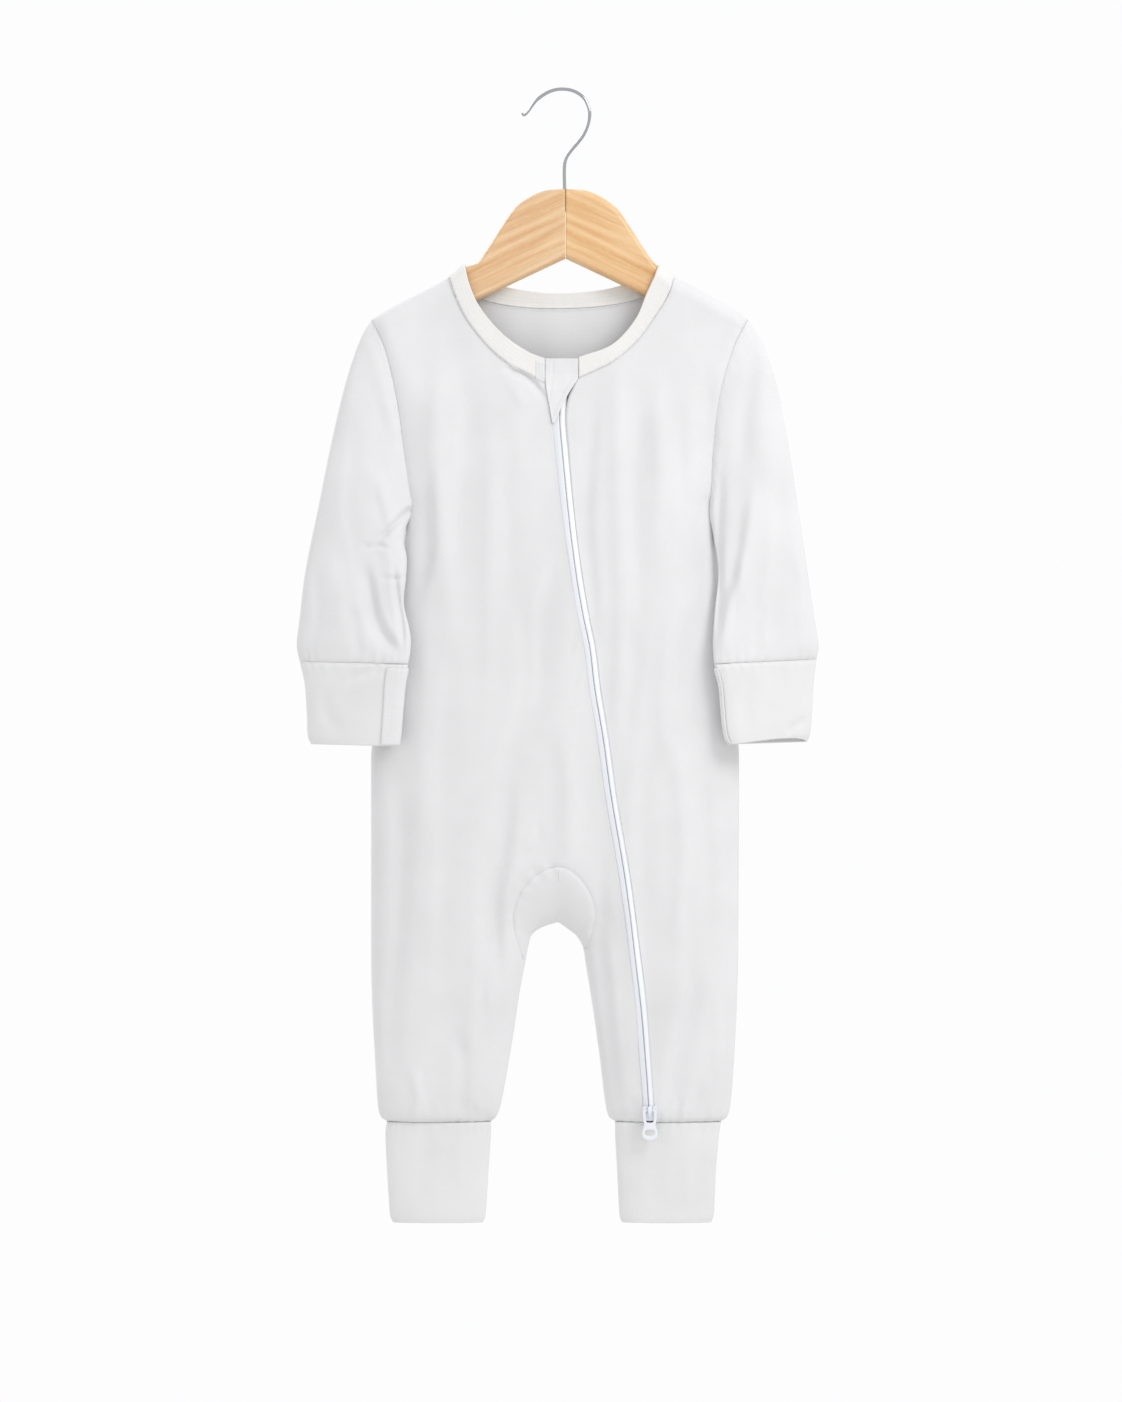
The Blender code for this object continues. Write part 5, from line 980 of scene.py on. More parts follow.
def armhole_ring(side):
    """The sleeve's first ring, level with the panels' edge over the seam's gap, and its inner side."""
    seam = arm_line(side, -HALF_GAP)
    shift = arm_line(side, HALF_GAP) - seam
    outer = []
    inner = []
    for face, part_of in ((FRONT, slice(0, None)), (BACK, slice(-2, 0, -1))):
        points, normal = front_skin(seam[part_of], face)
        points[:, [0, 2]] += shift[part_of]
        outer.append(points)
        inner.append(points - CLOTH * unit(normal * [0.6, 1.0, 0.6]))
    outer, inner = np.vstack(outer), np.vstack(inner)
    outer[[0, ARM_ROWS], 1] = 0.0
    inner[[0, ARM_ROWS], 1] = 0.0
    inner[ARM_ROWS] = outer[ARM_ROWS] + CLOTH * np.array([side * 0.38, 0.0, 0.92])
    return outer, inner


def sleeve(side):
    """Rings from the armhole to the cuff seam, with the folds' depths taken off the front and the back."""
    first, first_inner = armhole_ring(side)
    last = len(SLEEVE[side])
    steps = last * np.linspace(0, 1, SLEEVE_ROWS) ** 1.08
    grid = through([first] + [ring_points(ring, side) for ring in SLEEVE[side]], steps)
    s = np.sin(ANGLES)
    fade = np.clip((steps - 0.5) / 1.5, 0, 1) * np.clip((last - steps) / 0.9, 0, 1)
    inner_side = ((1 - np.cos(ANGLES)) / 2) ** 7
    for height, wide, push in ELBOW[side]:
        grid[..., 0] -= side * push * bell((grid[..., 2] - height) / wide) * inner_side
    x, z = grid[..., 0], grid[..., 2]
    for face in (FRONT, BACK):
        dent = creases(x, z, SLEEVE_FOLDS[side, face]) + 1.2 * unevenness(x * 1.3 + 40 * side, z, face)
        grid[..., 1] -= face * dent * np.clip(-face * s * 3, 0, 1) * fade[:, None]
    normal = ring_normals(grid)
    d = np.linalg.norm(grid - grid[:1], axis=-1)
    swell = 0.25 * (1 - bell(d / 1.7)) * bell(d / 9.0)
    pucker = 0.14 * np.sin(26 * ANGLES + 1.5 * np.sin(5 * ANGLES)) * np.exp(-((d - 3.0) ** 2) / 14)
    swell = swell + pucker * (1 - np.exp(-d))
    low = np.linalg.norm(grid - grid[-1:], axis=-1)
    gather = 0.34 * np.sin(27 * ANGLES + 2.1 * np.sin(3 * ANGLES + side)) * bell(low / 7.5)
    swell = swell + gather * (0.6 + 0.4 * np.sin(4 * ANGLES)) - 0.75 * bell(low / 1.3)
    grid = grid + normal * (swell * np.clip(np.abs(s) * 3, 0, 1))[..., None]
    inner = grid - CLOTH * ring_normals(grid)
    inner[0] = first_inner
    points, faces, uv = round_uv(grid, inner)
    piece = add_piece(NAMED[side] + "_sleeve_cloth", points, faces, WHITE_JERSEY, uv)
    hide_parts("sleeve_" + NAMED[side])


for side in NAMED:
    sleeve(side)

# ============================================================ the sleeve cuffs
# A band of double knit folded on itself and sewn to the sleeve, so its open end is a soft round fold. The seam
# above it gathers the sleeve, and the cuff swells out of the seam's valley in small gathers of its own.
KNIT = 1.4
SLEEVE_CUFF = {
    RIGHT: [
        (-161, -354.2, -6, -93.5, -355.8, -22, 7.8), (-158.1, -367.7, -6, -96.1, -368.9, -21.5, 7.6),
        (-156.9, -383.8, -6, -97.3, -381.5, -21, 7.6), (-156.2, -399.3, -6, -98.8, -399, -21, 7.8),
        (-154.4, -404.2, -6, -99.8, -405.4, -21, 7.6),
    ],
    LEFT: [
        (158.7, -352.7, -6, 94.9, -355.7, -22, 7.8), (156.9, -367.7, -6, 98.6, -368.9, -21.5, 7.8),
        (156.2, -382, -6, 99.8, -381.5, -21, 8), (155, -397.5, -6, 101.5, -397.5, -21, 8.4),
        (153.1, -402.9, -6, 104, -404.3, -21, 8.4),
    ],
}
MOUTH_LIFT = {RIGHT: 0.0, LEFT: 2.6}
CUFF_FOLDS = {
    RIGHT: [(-131, -368, -110, -357.5, 3.5, 1.1, 1.5), (-146, -372, -138, -399, 5, 0.7, -1)],
    LEFT: [(141, -399, 151, -389, 3, 1.1, 1), (116, -362, 112, -396, 5, 0.8, 1)],
}
# The third tone is painted shade between the loops; the first two vary at random.
SMOOTH_KNIT = jersey("off-white interlock cuff knit", ("#E3E3E3", "#DDDDDD", "#CCCCCA"), 1.2, 1.4, 0.18)


def cuff_grid(rings, side, rows, lift, folds, turns):
    """Rings of a cuff; its top swells out of the seam's valley in small gathers, turns of them all round."""
    steps = (len(rings) - 1) * np.linspace(0, 1, rows) ** 0.94
    grid = through([ring_points(ring, side) for ring in rings], steps)
    s = np.sin(ANGLES)
    front = np.clip(s, 0, None) * (1 + np.cos(ANGLES)) / 2
    down = np.clip((steps - 2.4) / 1.6, 0, 1)[:, None]
    grid[..., 2] += lift * 1.6 * front * down * down
    grid[..., 1] += creases(grid[..., 0], grid[..., 2], folds) * np.clip(s * 3, 0, 1)
    normal = ring_normals(grid)
    d = np.abs(grid[..., 2] - grid[:1, :, 2])
    gather = 0.22 * np.sin(turns * ANGLES + 1.9 * np.sin(3 * ANGLES + side)) * bell(d / 6.0)
    soft = 0.22 * np.sin(7 * ANGLES + d / 13) + 0.12 * np.sin(13 * ANGLES + 1.3 - d / 9)
    swell = gather - 0.7 * bell(d / 1.2) + 0.15 * soft
    return grid + normal * (swell * np.clip(np.abs(s) * 3, 0, 1))[..., None]


def cuff_normals(grid):
    """A cuff's outward normals, laid almost level."""
    return unit(ring_normals(grid) * [1.0, 1.0, 0.3])


def knit_tube(name, grid, replaces):
    """A cuff's wall, one thickness inwards from its rings, with a half-round fold at its open end."""
    outer, inner = lipped(grid, cuff_normals(grid), KNIT)
    points, faces, uv = round_uv(outer, inner)
    piece = add_piece(name, points, faces, SMOOTH_KNIT, uv)
    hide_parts(replaces)


CUFFS = {side: cuff_grid(SLEEVE_CUFF[side], side, 60, MOUTH_LIFT[side], CUFF_FOLDS[side], 25) for side in NAMED}
for side, hand in NAMED.items():
    knit_tube(hand + "_sleeve_cuff_knit", CUFFS[side], "sleeve_cuff_" + hand)

# ============================================================ the fold-over mittens
# A second layer of jersey round the back and the inner side of each cuff, which turns over the hand. Its front
# edge is hemmed with two rows of stitches.
MITTEN_FROM = {RIGHT: 128.0, LEFT: 160.0}
MITTEN_TO = 345.0
THREAD = finish("white polyester thread")
surface(THREAD, {"Base Color": linear("#E9E9E8"), "Roughness": 0.6, "Sheen Weight": 0.2})


def rod_faces(rings, around, count=1):
    """Faces of a rod, with both end rings closed by a fan of quads, repeated for so many rods in a row."""
    k = np.arange(1, around - 2, 2)
    fan = np.stack([0 * k, k, k + 1, k + 2], -1)
    one = np.vstack([net(rings, around, wrap_cols=True)[0], fan, fan[:, ::-1] + (rings - 1) * around])
    return (one[None] + rings * around * np.arange(count)[:, None, None]).reshape(-1, 4)


def joined(parts):
    """Several meshes in one: the points in a row, the faces counted on."""
    start = np.cumsum([0] + [len(p) for p, _ in parts])
    return np.vstack([p for p, _ in parts]), np.vstack([f + s for (_, f), s in zip(parts, start)])


def stitches(path, out, pitch, length, radius):
    """Short rounded threads laid along a path, one every pitch, sunk a little; their sections are hexagons.

    Ring k stands at the centre + length/2 * (-1, -0.8, 0, 0.8, 1)[k] along the path, its radius 0, 0.8, 1, 0.8, 0.
    """
    size = travelled(path)
    at = np.arange(pitch / 2, size[-1] - length / 2, pitch)

    def pick(values, s):
        return np.stack([np.interp(s, size, values[:, k]) for k in range(3)], -1)

    centre = pick(path, at)
    run = unit(pick(path, at + 0.4) - pick(path, at - 0.4))
    up = pick(out, at)
    up = unit(up - (up * run).sum(axis=1, keepdims=True) * run)
    aside = np.cross(run, up)
    forward = length / 2 * np.array([-1.0, -0.8, 0.0, 0.8, 1.0])
    rings = radius * np.array([0.04, 0.8, 1.0, 0.8, 0.04])
    bow = radius * np.array([-0.9, -0.2, 0.25, -0.2, -0.9])
    a = np.linspace(0, 2 * np.pi, 6, endpoint=False)
    flat = rings[:, None, None] * (np.cos(a)[:, None] * aside[:, None, None] + np.sin(a)[:, None] * up[:, None, None])
    base = centre[:, None] + forward[:, None] * run[:, None] + bow[:, None] * up[:, None]
    return (base[:, :, None] + flat).reshape(-1, 3), rod_faces(5, 6, len(at))


def threads(name, rows):
    """Several rows of stitches joined in one piece."""
    add_piece(name, *joined(rows), THREAD)


def mitten(side, hand):
    """The cuff's own grid moved out by its thickness and a hair, its three free edges thinned to a round."""
    grid = CUFFS[side]
    normal = cuff_normals(grid)
    start = MITTEN_FROM[side]
    inner_columns = np.arange(start + 8, MITTEN_TO - 5, 2.5)
    last_columns = np.linspace(MITTEN_TO - 5, MITTEN_TO, 7)
    degrees = np.concatenate([np.linspace(start, start + 6, 9), inner_columns, last_columns])
    k = np.radians(degrees) / (2 * np.pi) * AROUND
    low = np.floor(k).astype(int)
    share = (k - low)[:, None]
    base, out = (g[2:, low % AROUND] * (1 - share) + g[2:, (low + 1) % AROUND] * share for g in (grid, normal))
    edge = np.minimum(np.arange(len(degrees)), np.arange(len(degrees))[::-1])[None, :]
    row = np.minimum(np.arange(len(base)), np.arange(len(base))[::-1])[:, None]
    half = 0.42 * rounding(np.minimum(edge / 3, row / 2), 1)[..., None] + 0.03
    middle = 0.7 + 0.16 * np.exp(-((edge - 5) ** 2) / 8)[..., None]
    outer = base + (middle + half) * out
    points, faces = closed_wall(outer, base + (middle - half) * out, net(*base.shape[:2])[0])
    flat = np.stack(np.meshgrid(np.arange(len(base)) * -0.85, degrees * 0.33, indexing="ij")[::-1], -1).reshape(-1, 2)
    name = hand + "_mitten_layer"
    piece = add_piece(name, points, faces, WHITE_JERSEY, flat[faces % len(flat)])
    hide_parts("mitten_fold_" + hand)
    columns = [int(np.searchsorted(degrees, start + a)) for a in (9.0, 17.0)]
    threads(name + "_stitches", [stitches(outer[3:-3, c], out[3:-3, c], 2.1, 1.5, 0.2) for c in columns])


for side, hand in NAMED.items():
    mitten(side, hand)

# ============================================================ the leg cuffs
# Long bands of double knit, folded at the ankle and sewn to the gathered leg hem; there are no feet. They are the
# same knit as the sleeves' cuffs and end in the same round fold.
LEG_CUFF = {
    RIGHT: [
        (-107.3, -638.75, 0, -42.8, -638.75, 0, 10.6), (-108.3, -647.3, 0, -42.8, -647.3, 0, 10),
        (-107.3, -669, 0, -44.3, -669, 0, 9.6), (-105.6, -695, 0, -45.9, -695, 0, 9.6),
        (-104, -700.4, 0, -47.4, -700.4, 0, 9.2),
    ],
    LEFT: [
        (99.8, -638.75, 0, 34.1, -638.75, 0, 10.6), (98.6, -647.3, 0, 34.1, -647.3, 0, 10),
        (96.7, -669, 0, 35.3, -669, 0, 9.6), (95.5, -695, 0, 36.6, -695, 0, 9.6),
        (94, -700.4, 0, 38, -700.4, 0, 9.2),
    ],
}
LEG_CUFF_FOLDS = {
    RIGHT: [(-84, -641, -86, -690, 6, 0.6, 1), (-62, -641, -64, -685, 5, -0.5, 1)],
    LEFT: [(60, -641, 58, -690, 6, 0.7, 1), (80, -641, 76, -690, 5, -0.6, 1)],
}
for side, hand in NAMED.items():
    leg_cuff = cuff_grid(LEG_CUFF[side], side, 70, 0.0, LEG_CUFF_FOLDS[side], 27)
    knit_tube(hand + "_leg_cuff_knit", leg_cuff, "leg_cuff_" + hand)

# ============================================================ the neck band
# A strip of rib bound over the neckline and held by twin rows of stitches; it stops at the zip on both sides.
# Its free edge is a round fold, and its right end is closed by a small binding.
NECK_EDGE = {
    RIGHT: [(-9.4, -166.2), (-20, -162), (-35.6, -151), (-49.5, -134.5), (-55.6, -121.5), (-59.5, -107.3)],
    LEFT: [(11.6, -165.5), (32.2, -157.5), (46.5, -142), (53.9, -125), (58.5, -115), (61.4, -107.3)],
    NAPE: [
        (-59.5, -107.3), (-43.4, -117.6), (-27.9, -122.2), (-2.5, -124.9), (24.8, -123), (43.4, -117.8),
        (61.4, -107.3),
    ],
}
BAND_THICK = 1.3
# The third tone is painted shade between the loops; the first two vary at random.
RIB = jersey("off-white neck rib", ("#E9E8E5", "#E3E2DF", "#D2D1CE"), 1.5, 2.4, 0.3)
BAND_RUNS = [(RIGHT, False, FRONT, 96), (NAPE, False, BACK, 150), (LEFT, True, FRONT, 96)]


def band_surface():
    """The band's outer points, from the seam (column 0) to its free edge, all round the neckline, and how far
    across it each column lies."""
    across = np.concatenate([np.linspace(0, 0.88, 15), 1 - 0.12 * np.cos(np.linspace(0, np.pi / 2, 7))[1:]])
    points = []
    for number, (key, turned, face, count) in enumerate(BAND_RUNS):
        t = np.linspace(0, 1, count)
        seam, edge = (along(line[key][::-1] if turned else line[key], t) for line in (NECK_SEAM, NECK_EDGE))
        seam = seam + HALF_GAP * unit(edge - seam)
        flat = seam[:, None] + (edge - seam)[:, None] * across[:, None]
        x, z = flat[..., 0].ravel(), flat[..., 1].ravel()
        y = face * (stand_off(x, z, face) + HALF_GAP).reshape(count, -1)
        if number == 0:
            y[-1] = 0.0
        if number == 1:
            flat, y = flat[1:-1], y[1:-1]
        if number == 2:
            y[0] = 0.0
        points.append(np.stack([flat[..., 0], y, flat[..., 1]], -1))
    return np.concatenate(points), across


def neck_band():
    """The band's wall: the outer face swells a little out of the seam, and the free edge is rounded on a quarter of
    an ellipse from both faces. Its stitches follow the seam outside and, at the back of the neck, inside."""
    points, across = band_surface()
    index = net(*points.shape[:2])[0]
    normal = point_normals(points.reshape(-1, 3), index).reshape(points.shape)
    width = points.shape[1]
    if normal[:90, :, 1].sum() > 0:
        normal = -normal
        index = index[:, ::-1]
    for _ in range(6):
        normal[1:-1] = (normal[:-2] + 2 * normal[1:-1] + normal[2:]) / 4
    normal = unit(normal)
    span = np.linalg.norm(points[:, -1] - points[:, 0], axis=-1)
    reach = across[None] * span[:, None]
    full = rounding((1 - across)[None] * span[:, None], BAND_THICK * 0.55)
    s = np.arange(len(points))[:, None]
    top = 0.30 * rounding(reach, 1.6) ** 2 * full + 0.05 * np.sin(s * 0.9) * np.exp(-((reach - 3.0) ** 2) / 3.0)
    middle = BAND_THICK / 2
    outer = points + normal * (top - (1 - full) * middle * 0.9)[..., None]
    inner = points - normal * (middle + full * middle * 0.9)[..., None]
    whole, faces = closed_wall(outer, inner, index)
    uv = np.stack([np.repeat(travelled(points[:, 10])[:, None], width, axis=1), reach], -1).reshape(-1, 2)
    piece = add_piece("neck_band_rib", whole, faces, RIB, uv[faces % len(uv)])
    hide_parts("neck_band")
    rows = []
    k = np.arange(len(points))
    for from_seam in (2.0, 4.0):
        at = np.clip(from_seam / span, 0, 0.8) * (width - 8) / 0.88
        low = np.floor(at).astype(int)
        part_of = (at - low)[:, None]
        line = outer[k, low] * (1 - part_of) + outer[k, low + 1] * part_of
        rows.append(stitches(line, normal[k, low], 2.5, 1.9, 0.19))
    behind = (points[:, 0, 1] > 0.5) & (np.abs(points[:, 0, 0]) < 52)
    for share in (0.22, 0.42, 0.7):
        column = int(share * (width - 8) / 0.88)
        rows.append(stitches(inner[behind, column], -normal[behind, column], 1.7, 1.4, 0.14))
    threads("neck_band_stitches", rows)


neck_band()


def end_binding():
    """A folded tab over the band's right end: its outline follows the band, 0.5 mm proud, with round edges."""
    u = np.linspace(0, 1, 21)[None, :]
    v = np.linspace(0, 1, 33)[:, None]
    x = np.repeat(-15.1 + 5.5 * u, v.size, axis=0)
    z = -168.4 - 12.1 * v + (u - 0.5) * -2.4
    full = rounding(np.minimum(np.minimum(u, 1 - u) * 5.6, np.minimum(v, 1 - v) * 12.1), 0.8)
    y = -(stand_off(x.ravel(), z.ravel(), FRONT).reshape(x.shape) + HALF_GAP)
    stitch = 0.12 * np.exp(-(((u - 0.25) * 5.6) ** 2) / 0.3)
    outer = np.stack([x, y - 0.25 - 0.5 * full + stitch, z], -1)
    inner = np.stack([x, y + 0.05 + 0.1 * full, z], -1)
    points, faces = closed_wall(outer, inner, net(*x.shape)[0])
    piece = add_piece("neck_band_end_binding", points, faces, WHITE_JERSEY, points[faces][..., [0, 2]])


end_binding()

# ============================================================ the zip's tapes and coil
# A woven polyester zip set in upside down, so its face is two smooth tapes that meet in a fine groove, with the
# coil's turns just showing in it. The tapes run under the panels' turned edges. The right tape, on the viewer's
# left, is given a greyer colour, which is painted shade.
ZIP_ROWS = 420
TAPE_Z = (-186.0, -637.4)
COIL_Z = (-189.0, -627.6)
TOOTH_PITCH = 1.35
COIL_DEPTH = 1.35
# Off the zip's middle, and how deep the tape lies behind the panels' face there.
TAPE_DEPTH = [(0.1, 1.95), (0.2, 1.5), (0.45, 0.9), (0.9, 0.62), (1.6, 0.52), (2.4, 0.55), (3.0, 0.66), (3.4, 0.8),
              (3.8, 0.95), (5.8, 1.2)]


def tape(side, tone):
    """Woven tape: fine twill ribs along it, drawn 0.9 mm apart, on a hard bright yarn. Its colour is the given tone,
    which on the right tape is greyer: painted shade.
    """
    woven = finish("woven zip tape " + NAMED[side])
    place = node(woven, "SeparateXYZ", {0: node(woven, "UVMap", uv_map="cut")}).outputs
    turns = [node(woven, "Math", {0: place[k], 1: r}, operation="MULTIPLY") for k, r in ((0, 6983.0), (1, 5700.0))]
    ribs, weft = (node(woven, "Math", {0: turn}, operation="SINE") for turn in turns)
    height = node(woven, "Math", {0: weft, 1: 0.5, 2: ribs}, operation="MULTIPLY_ADD")
    bump = node(woven, "Bump", {"Height": height, "Strength": 0.12, "Distance": 0.0002})
    return surface(woven, {"Base Color": linear(tone), "Roughness": 0.55, "Sheen Weight": 0.2, "Normal": bump})


def tape_strip(side, tone):
    """Depth behind the panels' face: 1.95 in the groove, 0.5 on the crown, 1 under the panel's edge."""
    z = np.linspace(*TAPE_Z, ZIP_ROWS)
    off = np.array([0.10, 0.16, 0.28, 0.45, 0.7, 1.1, 1.6, 2.1, 2.6, 3.0, 3.3, 3.7, 4.2, 5.0, 5.7])
    deep = np.interp(off, *np.array(TAPE_DEPTH).T)
    x = zip_x(z, 2)[:, None] + side * off * np.where(z[:, None] > -200, 0.75, 1.0)
    zz = np.repeat(z[:, None], len(off), axis=1)
    flat = np.column_stack([x.ravel(), zz.ravel()])
    surface_points, normal = front_skin(flat, FRONT)
    wave = 0.07 * np.sin(zz.ravel() / 9.0 + side) * bell(off[None] - 2.0).repeat(len(z), axis=0).ravel()
    outer = surface_points - (np.tile(deep, len(z)) + wave)[:, None] * normal
    inner = surface_points - (np.tile(np.maximum(deep + 0.35, 2.0), len(z)) + 0.3)[:, None] * normal
    points, faces = closed_wall(outer, inner, net(len(z), len(off))[0])
    uv = np.column_stack([np.tile(off, len(z)), zz.ravel()])
    hand = NAMED[side]
    piece = add_piece(hand + "_zip_tape_cloth", points, faces, tape(side, tone), uv[faces % len(uv)])
    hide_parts("zip_tape_" + hand)


# painted shade: the right tape's greyer tone stands for shade; the left tape's tone is the lit colour of the same
# tape
tape_strip(RIGHT, "#DDDFE4")
tape_strip(LEFT, "#F1F3F7")

nylon = finish("white nylon coil")
surface(nylon, {"Base Color": linear("#D5D7DB"), "Roughness": 0.4})
tooth_z = np.arange(*COIL_Z, -TOOTH_PITCH)
tooth_flat = np.column_stack([zip_x(tooth_z, 2), tooth_z])
tooth_at, tooth_out = front_skin(tooth_flat, FRONT)
tooth_at = tooth_at - COIL_DEPTH * tooth_out
ends = []
for lean in (-1, 1):
    half = np.array([0.42, 0.0, 0.16 * lean])
    one = tooth_at[int(lean > 0) :: 2] + np.array([lean * 0.28, 0.0, 0.0])
    ends.append(np.stack([one - half, one + half], 1))
ends = np.concatenate(ends)
turns = np.linspace(0, 2 * np.pi, 8, endpoint=False)
at = np.array([-1.15, -1.0, -0.7, 0.7, 1.0, 1.15])
width = 0.34 * np.array([0.03, 0.6, 1.0, 1.0, 0.6, 0.03])
spine = ends.mean(axis=1)[:, None] + (ends[:, 1] - ends[:, 0])[:, None] / 2 * at[:, None]
ring = width[:, None, None] * np.column_stack([np.zeros(8), np.cos(turns), np.sin(turns)])
coil_points = spine[:, :, None] + ring
coil = add_piece("zip_coil_turns", coil_points, rod_faces(6, 8, len(ends)), nylon)
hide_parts("zip_coil")

# ============================================================ the zip guard
# A small tab of jersey folded double over the zip's top, so that it doesn't touch the chin. Its slanting lower
# edge is turned under and its left edge lies over the zip.
GUARD = [
    (-166.4, -9.05, 11.25), (-172, -9.05, 11.2), (-177.6, -9.15, 11.3), (-184, -8.75, 7.85), (-191, -7.6, 3.7),
    (-198, -6.35, 0.3), (-204, -5.3, -2.3), (-206.5, -4.9, -3.4),
]
GUARD_PROUD = 1.25


def guard():
    """Rows between its left and right edge; it stands proud below the band and its edges are round hems."""
    v = np.linspace(0, 1, 90)
    u = cosine(40)
    table = np.array(GUARD)
    z = table[0, 0] + (table[-1, 0] - table[0, 0]) * v
    low = by_height(z, GUARD, 1)
    high = by_height(z, GUARD, 2)
    x = low[:, None] + (high - low)[:, None] * u
    zz = np.repeat(z[:, None], len(u), axis=1)
    y = -(stand_off(x.ravel(), zz.ravel(), FRONT).reshape(x.shape) + HALF_GAP)
    lift = GUARD_PROUD * np.clip((-176.0 - zz) / 10.0, 0, 1)
    diagonal = np.array([(-3.5, -206.6), (-2.2, -204.0), (0.3, -198.0), (3.6, -191.0), (7.2, -184.0), (10.9, -178.0)])
    side = np.minimum(x - low[:, None], (high[:, None] - x) * 0.87)
    edge = np.minimum(side, np.minimum(z[0] - zz, zz - z[-1]))
    hem_at = nearest(x.ravel(), zz.ravel(), diagonal)[0].reshape(x.shape)
    hem = np.where(zz < -178, 0.30 * bell(hem_at - 1.3) - 0.18 * bell((hem_at - 3.1) / 0.6), 0)
    fold = np.array([(-7.2, -197.8), (-4.6, -177.0), (-4.6, -167.4)])
    fold_at = nearest(x.ravel(), zz.ravel(), fold)[0].reshape(x.shape)
    crease = 0.3 * bell(fold_at / 0.7) * np.clip((zz + 200) / 8, 0, 1)
    full = rounding(edge, 0.6)
    soft = 0.12 * np.sin(x * 0.5 + zz * 0.21) * np.clip(edge / 3, 0, 1)
    outer = np.stack([x, y - lift - hem + crease - soft + 0.35 * (1 - full), zz], -1)
    inner = np.stack([x, y - lift + 0.8 - 0.35 * (1 - full), zz], -1)
    points, faces = closed_wall(outer, inner, net(*x.shape)[0])
    piece = add_piece("zip_guard_tab", points, faces, WHITE_JERSEY, points[faces][..., [0, 2]])
    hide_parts("zip_guard")


guard()

# ============================================================ the slider
# Die-cast zinc, painted bluish white and baked: a plate with two prongs, the keel behind it that parts the coil,
# and the arched bridge that holds the pull. The paint is thin and a little uneven, like orange peel.
SLIDER_X = 55.4
SLIDER_TOP = -628.1
PIVOT_Y = -16.521
PIVOT_Z = -630.6
PLATE_FRONT = PIVOT_Y + 1.25
PLATE_BACK = PLATE_FRONT + 1.2
BRIDGE_RINGS = 40
BRIDGE_AROUND = 16
PAINT = finish("baked white paint on zinc")
paint_at = node(PAINT, "TexCoord").outputs["Object"]
orange_peel = node(PAINT, "TexNoise", {"Vector": paint_at, "Scale": 1500.0, "Detail": 1.0})
peel = node(PAINT, "Bump", {"Height": orange_peel, "Strength": 0.08, "Distance": 0.0001})
baked = {"Base Color": linear("#E3E6EC"), "Roughness": 0.28, "Coat Weight": 0.3, "Coat Roughness": 0.1}
surface(PAINT, {**baked, "Normal": peel})


def frame_slab(outer, inner, front, back, roundness, steps=5):
    """A flat frame between two closed outlines of equal length, with round edges: its section is a rounded
    rectangle from the outer outline to the inner one, carried round both."""
    a = np.linspace(0, np.pi / 2, steps)
    round_in, round_deep = roundness * (1 - np.cos(a)), roundness * (1 - np.sin(a))
    depth = np.concatenate([front + round_deep[::-1], back - round_deep])
    inset = np.concatenate([round_in[::-1], round_in])
    to_inner = unit(inner - outer)
    first = outer[:, None] + to_inner[:, None] * inset[:, None]
    second = inner[:, None] - to_inner[:, None] * inset[::-1][:, None]
    flat = np.concatenate([first, second], axis=1)
    deep = np.concatenate([depth, depth[::-1]])
    points = np.stack([flat[..., 0], np.repeat(deep[None], len(outer), axis=0), flat[..., 1]], -1)
    return points.reshape(-1, 3), net(*points.shape[:2], wrap_rows=True, wrap_cols=True)[0]


def outline(points, count=72):
    """A closed, softly rounded outline through corner points: three rounds of corner cutting, then evenly spaced."""
    p = np.array(points, float)
    for _ in range(3):
        q = np.roll(p, -1, axis=0)
        p = np.stack([0.82 * p + 0.18 * q, 0.18 * p + 0.82 * q], 1).reshape(-1, 2)
    p = np.vstack([p, p[:1]])
    size = travelled(p)
    s = np.linspace(0, size[-1], count, endpoint=False)
    return np.column_stack([np.interp(s, size, p[:, 0]), np.interp(s, size, p[:, 1])])


def mirrored(half):
    """A half outline and its mirror image, in one round."""
    return half + [(-x, z) for x, z in half[::-1]]


half_plate = [
    (0, -2.3), (1.2, -1.9), (2.3, 0), (3.9, 0), (4.65, -1.6), (4.55, -4.8), (4, -7.4), (3.3, -9.1), (1.4, -9.3),
]
plate_line = outline(mirrored(half_plate)[:-1]) + [SLIDER_X, SLIDER_TOP]
core = np.array([SLIDER_X, SLIDER_TOP - 5.2])
plate_core = core + (plate_line - core) * 0.06
bridge_start, bridge_end = (PLATE_FRONT + 0.5, -0.9), (PLATE_FRONT + 0.3, -8.0)
over_pivot = [(PIVOT_Y - 1.2, -0.75), (PIVOT_Y - 1.75, -1.7), (PIVOT_Y - 1.6, -4.2)]
bridge_path = along([bridge_start, *over_pivot, bridge_end], np.linspace(0, 1, BRIDGE_RINGS))
spine = np.column_stack([np.full(BRIDGE_RINGS, SLIDER_X), bridge_path[:, 0], SLIDER_TOP + bridge_path[:, 1]])
run = unit(np.gradient(spine, axis=0))
aside = np.array([1.0, 0.0, 0.0])
up = np.cross(run, aside)
turns = np.linspace(0, 2 * np.pi, BRIDGE_AROUND, endpoint=False)[None, :, None]
wide = np.linspace(1.5, 0.85, BRIDGE_RINGS)[:, None, None]
thin = np.linspace(0.52, 0.5, BRIDGE_RINGS)[:, None, None]
close = np.ones((BRIDGE_RINGS, 1, 1))
close[[0, -1]] = 0.02
bridge = spine[:, None] + close * (wide * np.cos(turns) * aside + thin * np.sin(turns) * up[:, None])
plate = frame_slab(plate_line, plate_core, PLATE_FRONT, PLATE_BACK, 0.45)
keel_line = outline([(-2.3, -0.8), (2.3, -0.8), (2.3, -6.4), (-2.3, -6.4)]) + [SLIDER_X, SLIDER_TOP]
keel_core = keel_line.mean(axis=0) + (keel_line - keel_line.mean(axis=0)) * 0.06
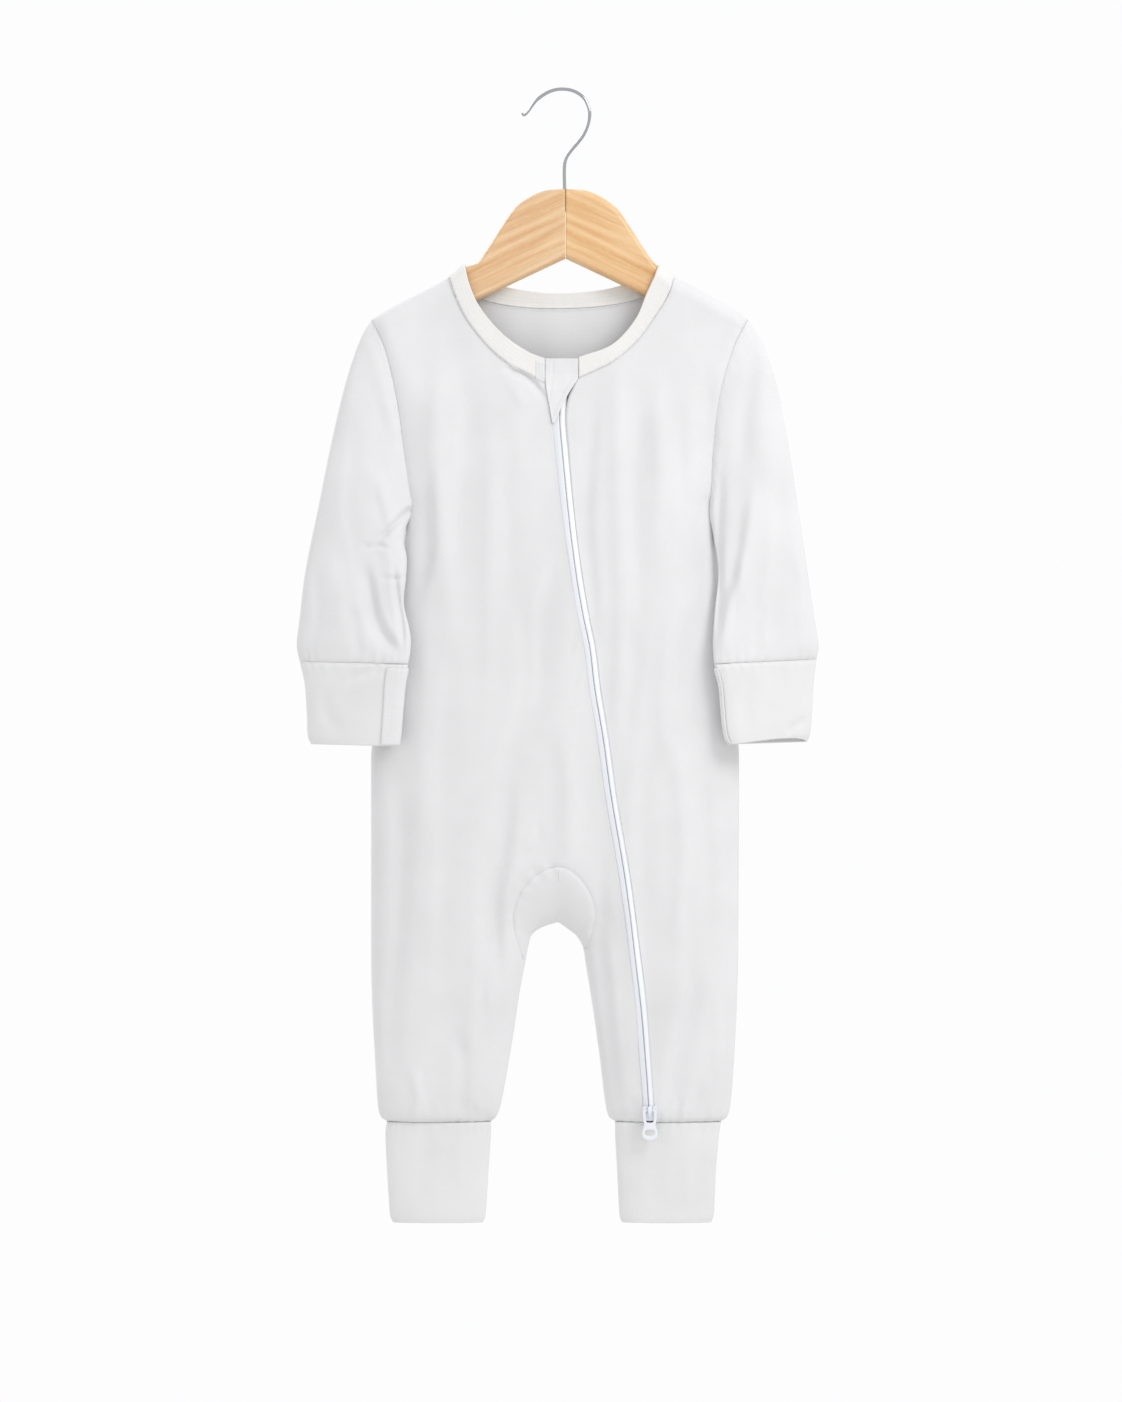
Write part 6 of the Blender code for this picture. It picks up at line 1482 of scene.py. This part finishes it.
keel = frame_slab(keel_line, keel_core, PLATE_FRONT + 0.5, PLATE_BACK + 1.1, 0.2)
slider_mesh = joined([plate, (bridge.reshape(-1, 3), rod_faces(BRIDGE_RINGS, BRIDGE_AROUND)), keel])
slider = add_piece("zip_slider_body", *slider_mesh, PAINT)
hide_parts("zip_slider")

# ============================================================ the pull tab
# The same painted zinc: a loop that turns in the bridge, a narrow waist and a rounded tab with an oval hole. It
# rides on the body zip_pull, which turns on the hinge.
PULL_TOP = [(3.3, 0.5), (4.3, -1.0), (4.15, -5.9), (3.5, -9.6)]
PULL_LOW = [(3.4, -8.4), (3.9, -11.0), (4.8, -13.6), (4.75, -16.0), (3.6, -17.6), (1.6, -18.5)]


def oval(centre, half_wide, half_high, power, like):
    """A superellipse: |x/a|^n + |z/b|^n = 1, its points at the same angles as the outline they belong to."""
    a = np.arctan2(like[:, 1] - centre[1], like[:, 0] - centre[0])
    r = (np.abs(np.cos(a) / half_wide) ** power + np.abs(np.sin(a) / half_high) ** power) ** (-1 / power)
    return centre + np.column_stack([r * np.cos(a), r * np.sin(a)])


upper_line = outline(mirrored(PULL_TOP)) + [SLIDER_X, PIVOT_Z]
lower_line = outline(mirrored(PULL_LOW)) + [SLIDER_X, PIVOT_Z]
window = oval(np.array([SLIDER_X, PIVOT_Z - 4.15]), 2.45, 3.6, 4.0, upper_line)
hole = oval(np.array([SLIDER_X, PIVOT_Z - 13.95]), 3.2, 1.85, 2.6, lower_line)
halves = ((upper_line, window, 0.5), (lower_line, hole, 0.55))
pull_mesh = joined([frame_slab(line, gap, PIVOT_Y - half, PIVOT_Y + half, 0.42) for line, gap, half in halves])
pull = add_piece("zip_pull_tab", *pull_mesh, PAINT, body="zip_pull")
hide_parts("pull_tab")

# ============================================================ the camera, the light and the floor
# A long lens straight in front, as in the photograph; one large soft light from the upper right and a white room.
# A weaker lamp behind lights the back for views from there; the room is dimmer from below.
scene = bpy.context.scene
scene.view_settings.view_transform = "Standard"
scene.view_settings.look = "None"
DISTANCE = 3.5
PICTURE_HEIGHT = 0.869
lens = bpy.data.cameras.new("long lens")
lens.sensor_width = 36
lens.lens = 36 * DISTANCE / PICTURE_HEIGHT
camera = bpy.data.objects.new("camera", lens)
camera.location = (0.0006, -DISTANCE, -0.3782)
camera.rotation_euler = (np.pi / 2, 0, 0)
scene.collection.objects.link(camera)
scene.camera = camera

room = bpy.data.worlds.new("white room")
room.use_nodes = True
height = node(room, "SeparateXYZ", {0: node(room, "TexCoord").outputs["Generated"]}).outputs["Z"]
dim = node(room, "MapRange", {"Value": height, "From Min": -0.7, "From Max": -0.15, "To Min": 0.62, "To Max": 0.992})
background = room.node_tree.nodes["Background"]
background.inputs[0].default_value = linear("#FEFEFF")
room.node_tree.links.new(dim.outputs[0], background.inputs[1])
scene.world = room


def soft_light(name, watts, place):
    """A round soft light, 0.7 m across, turned towards the garment's chest."""
    light = bpy.data.lights.new(name, "AREA")
    light.shape = "DISK"
    light.size = 0.7
    light.energy = watts
    lamp = bpy.data.objects.new(name, light)
    lamp.location = place
    aim = np.array([0.0, 0.0, -0.25]) - np.array(lamp.location)
    lamp.rotation_euler = (np.arccos(-aim[2] / np.linalg.norm(aim)), 0, np.arctan2(aim[1], aim[0]) - np.pi / 2)
    scene.collection.objects.link(lamp)
    return lamp


lamp = soft_light("soft window light", 8.5, (0.95, -0.98, 0.6))
behind = soft_light("soft light behind", 6.0, (-0.95, 0.98, 0.6))

FLOOR_HALF = 2.4
FLOOR_Z = -1.15
plain = finish("pale floor")
surface(plain, {"Base Color": linear("#E9E9E8"), "Roughness": 0.9})
floor_mesh = bpy.data.meshes.new("floor")
corners = [(FLOOR_HALF * x, FLOOR_HALF * y, FLOOR_Z) for x, y in ((-1, -1), (1, -1), (1, 1), (-1, 1))]
floor_mesh.from_pydata(corners, [], [(0, 1, 2, 3)])
floor_mesh.materials.append(plain)
floor = bpy.data.objects.new("floor", floor_mesh)
scene.collection.objects.link(floor)
